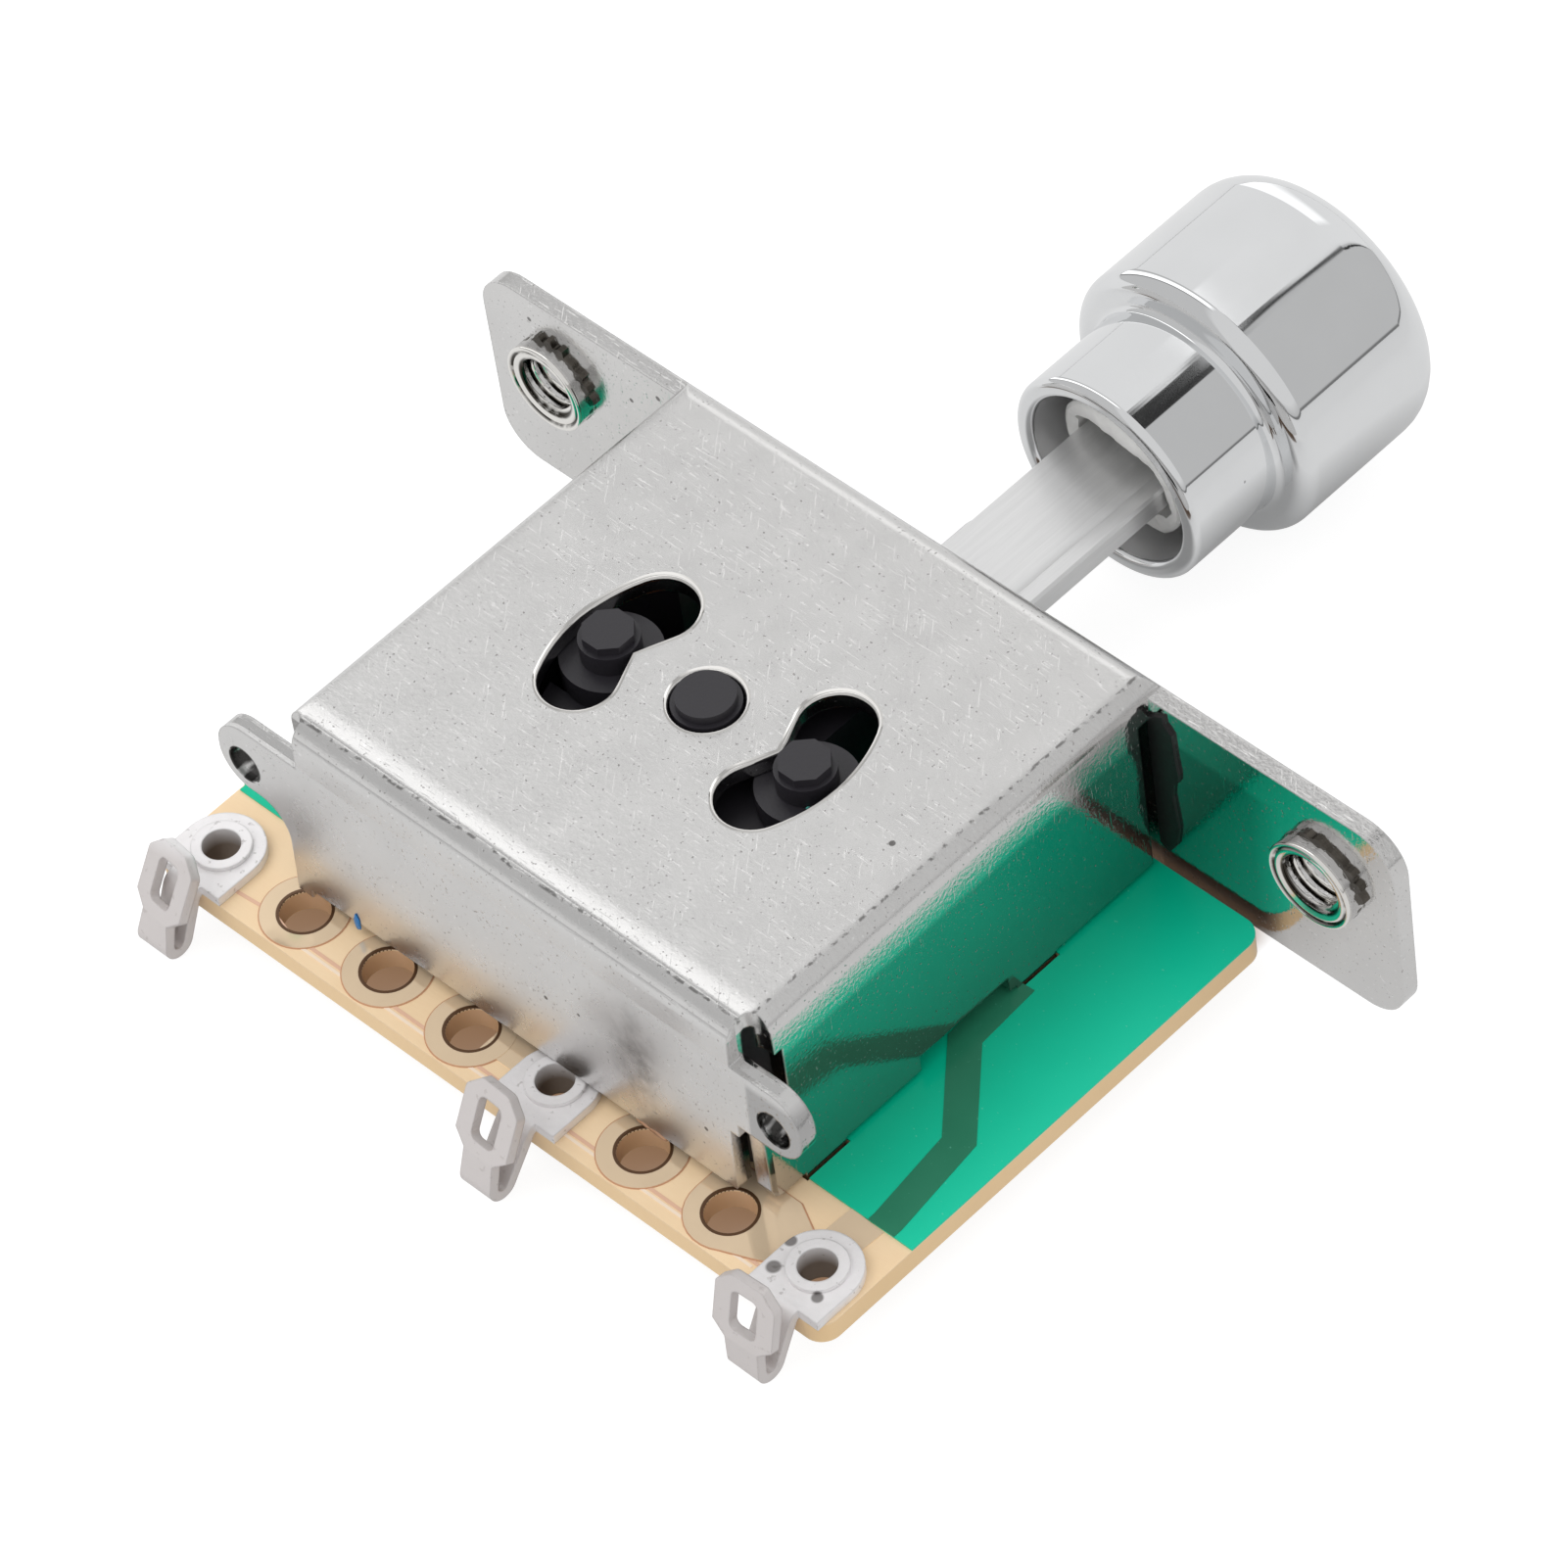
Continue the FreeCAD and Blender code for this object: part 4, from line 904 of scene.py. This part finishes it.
def make_board_details():
    """Copper pads round the empty holes, each with a dark ring at its edge as painted reflection, the lines along the
    board's front, one of them a pale painted highlight, and the tracks to the right lug.
    """
    copper = plain("lacquered_copper", rgb(250, 224, 190), 0.07, 0.45, grain=500.0, uneven=0.12)
    pad_edge = plain("pad_edge", rgb(196, 146, 112), 0.4)
    # Painted reflection: the dark brown ring at each empty hole's edge.
    bore_edge_reflection = plain("bore_edge_reflection", rgb(98, 70, 48), 0.3, 0.4)
    track_lacquer = green_lacquer("track_lacquer", on_track=True)
    line_copper = plain("line_copper", rgb(226, 184, 156), 0.4)
    # Painted highlight: the pale line along the board's front.
    painted_highlight_line = plain("painted_highlight_line", rgb(246, 226, 204), 0.3)
    for hole in empty_holes:
        x = first_hole + hole_pitch * hole
        for name, finish, radius, bore, low, high in (
                ("pad", copper, 1.84, hole_radius + 0.12, 0.012, 0.045),
                ("pad_rim", pad_edge, 1.89, hole_radius + 0.14, -0.01, 0.022),
                ("bore_rim", bore_edge_reflection, hole_radius + 0.13, hole_radius, -0.06, 0.052)):
            form = bmesh.new()
            outline = circle(x, hole_row, radius) if name == "bore_rim" else pad_outline(hole, radius)
            slab(form, [outline, circle(x, hole_row, bore)], board_top + low, board_top + high)
            add_piece("%s_%d" % (name, hole + 1), form, finish, "copper")
    for name, points, width, finish, slot, low, high in (
            ("outline_front", [(-17.6, -25.32), (-13.4, -24.98), (-12.3, -25.28), (13.6, -25.30)], 0.16,
             line_copper, "copper", -0.01, 0.02),
            ("outline_pale", [(-13.0, -25.52), (13.4, -25.52)], 0.13, painted_highlight_line, "board_phenolic", -0.01, 0.02),
            ("track_stub", [(15.2, -22.9), (15.3, -21.12)], 1.75, copper, "copper", -0.01, 0.03),
            ("track_link", [(-2.2, -23.55), (0.4, -23.55)], 2.1, copper, "copper", -0.01, 0.028),
            ("mask_strip", [(-19.02, -21.25), (-15.9, -21.25)], 0.34, nodes["solder_mask"].data.materials[0],
             "green_mask", 0.01, 0.07),
            ("track_green", [(15.98, -21.1), (15.98, -20.7), (15.45, -16.2), (12.2, -12.4), (12.0, -9.0)], 1.35,
             track_lacquer, "green_mask", 0.07, 0.105)):
        form = bmesh.new()
        slab(form, [ribbon(points, width)], board_top + low, board_top + high)
        add_piece(name, form, finish, slot)


def top_loops():
    """Closed edge lines of the slots and the hole in the cover's top, read from its mesh."""
    form = bmesh.new()
    form.from_mesh(nodes["cover"].data)
    bmesh.ops.remove_doubles(form, verts=form.verts, dist=1e-6)
    level = max(v.co.z for v in form.verts)
    rims = {}
    for edge in form.edges:
        if len(edge.link_faces) == 2 and all(abs(v.co.z - level) < 1e-6 for v in edge.verts):
            flat, upright = sorted(edge.link_faces, key=lambda f: -f.normal.z)
            if flat.normal.z > 0.99 and abs(upright.normal.z) < 0.1:
                for vert, other in (edge.verts, reversed(edge.verts)):
                    rims.setdefault(vert.index, []).append(other.index)
    form.verts.ensure_lookup_table()
    loops, used = [], set()
    for start in sorted(rims):
        if start in used or len(rims[start]) != 2:
            continue
        loop, here = [start], rims[start][0]
        used.add(start)
        while here not in used and len(rims.get(here, ())) == 2:
            used.add(here)
            loop.append(here)
            here = next((n for n in rims[here] if n not in used), start)
        if here == start and len(loop) > 8:
            loops.append([form.verts[i].co / MM for i in loop])
    form.free()
    return loops


def make_rims():
    """Rolled-over burr that runs round each opening of the cover's top, broader on its far side."""
    finish = plain("cut_nickel", rgb(222, 220, 217), 0.09, 1.0)
    section = [(1.0, -0.03), (0.72, 0.0), (0.45, 0.035), (0.2, 0.055), (0.0, 0.05), (-0.16, 0.0), (-0.2, -0.1),
               (0.0, -0.16)]
    narrow, broad, inward = 0.16, 0.24, 0.4
    far = Vector((-0.63, 0.78, 0))
    for number, loop in enumerate(top_loops()):
        form = bmesh.new()
        rings = []
        area = sum(a.x * b.y - b.x * a.y for a, b in zip(loop, loop[1:] + loop[:1]))
        side = 1 if area > 0 else -1
        for i, here in enumerate(loop):
            along = (loop[(i + 1) % len(loop)] - loop[i - 1]).normalized()
            out = Vector((along.y, -along.x, 0)) * side
            reach = narrow + broad * max(0.0, out.dot(far))
            rings.append([form.verts.new(here + out * (reach if part > 0 else inward) * part + Vector((0, 0, rise)))
                          for part, rise in section])
        for a, b in zip(rings, rings[1:] + rings[:1]):
            bridge(form, a, b)
        add_piece("rim_%d" % (number + 1), form, finish, "nickel_sheet", smooth=70)


def make_corner_shade():
    """Torn black sheet that stands out between the right wall and the mounting plate, as painted shade and reflection
    of the dark opening there.
    """
    # Painted shade and reflection: a black sheet where the corner shows a dark opening.
    finish = plain("shade_black", rgb(16, 15, 16), 0.5, grain=1500.0, relief=0.15)
    outline = [(12.05, 3.1), (12.9, 3.6), (12.95, 3.2), (13.3, 2.8), (13.35, 1.6), (13.45, 0.5), (13.4, 0.1),
               (13.1, -0.3), (13.0, -1.0), (13.15, -2.9), (12.95, -4.0), (12.5, -4.7), (12.05, -4.4)]
    thick, sunk = 0.16, 0.01
    form = bmesh.new()
    slab(form, [outline], 0.0, thick)
    lay_against_plate(form, plate_inside + sunk)
    add_piece("corner_shade_sheet", form, finish, "black_moulding")


def make_specks():
    """Ink speck and two torn burrs at the front wall's foot, and a teal speck beside the right post."""
    ink = plain("blue_ink", rgb(40, 132, 205), 0.4, grain=3000.0, uneven=0.4)
    burr_copper = plain("burr_copper", rgb(205, 160, 128), 0.35, 0.6, grain=2500.0, uneven=0.4)
    teal = plain("teal_dust", rgb(70, 150, 140), 0.6, grain=3000.0)
    wobble = random.Random(5)
    for name, finish, slot, centre, radii, body in (
            ("ink_speck", ink, "nickel_sheet", (-9.92, -23.58, -4.72), (0.17, 0.07, 0.46), "switch_body"),
            ("burr_left", burr_copper, "nickel_sheet", (5.85, -23.52, -4.80), (0.42, 0.10, 0.10), "switch_body"),
            ("burr_right", burr_copper, "nickel_sheet", (6.62, -23.54, -4.82), (0.50, 0.09, 0.13), "switch_body"),
            ("teal_speck", teal, "black_moulding", (5.62, -12.9, 3.92), (0.09, 0.09, 0.05), "lever")):
        form = bmesh.new()
        add_lump(form, Vector(centre), radii, wobble)
        add_piece(name, form, finish, slot, body, smooth=60)


def main():
    bpy.context.scene.view_settings.view_transform = "Standard"
    make_camera()
    make_world()
    make_lamp()
    make_floor()
    dress_nodes()
    make_tip()
    make_blade()
    make_collars()
    make_corner_shade()
    make_specks()
    make_rims()
    make_board_details()


main()
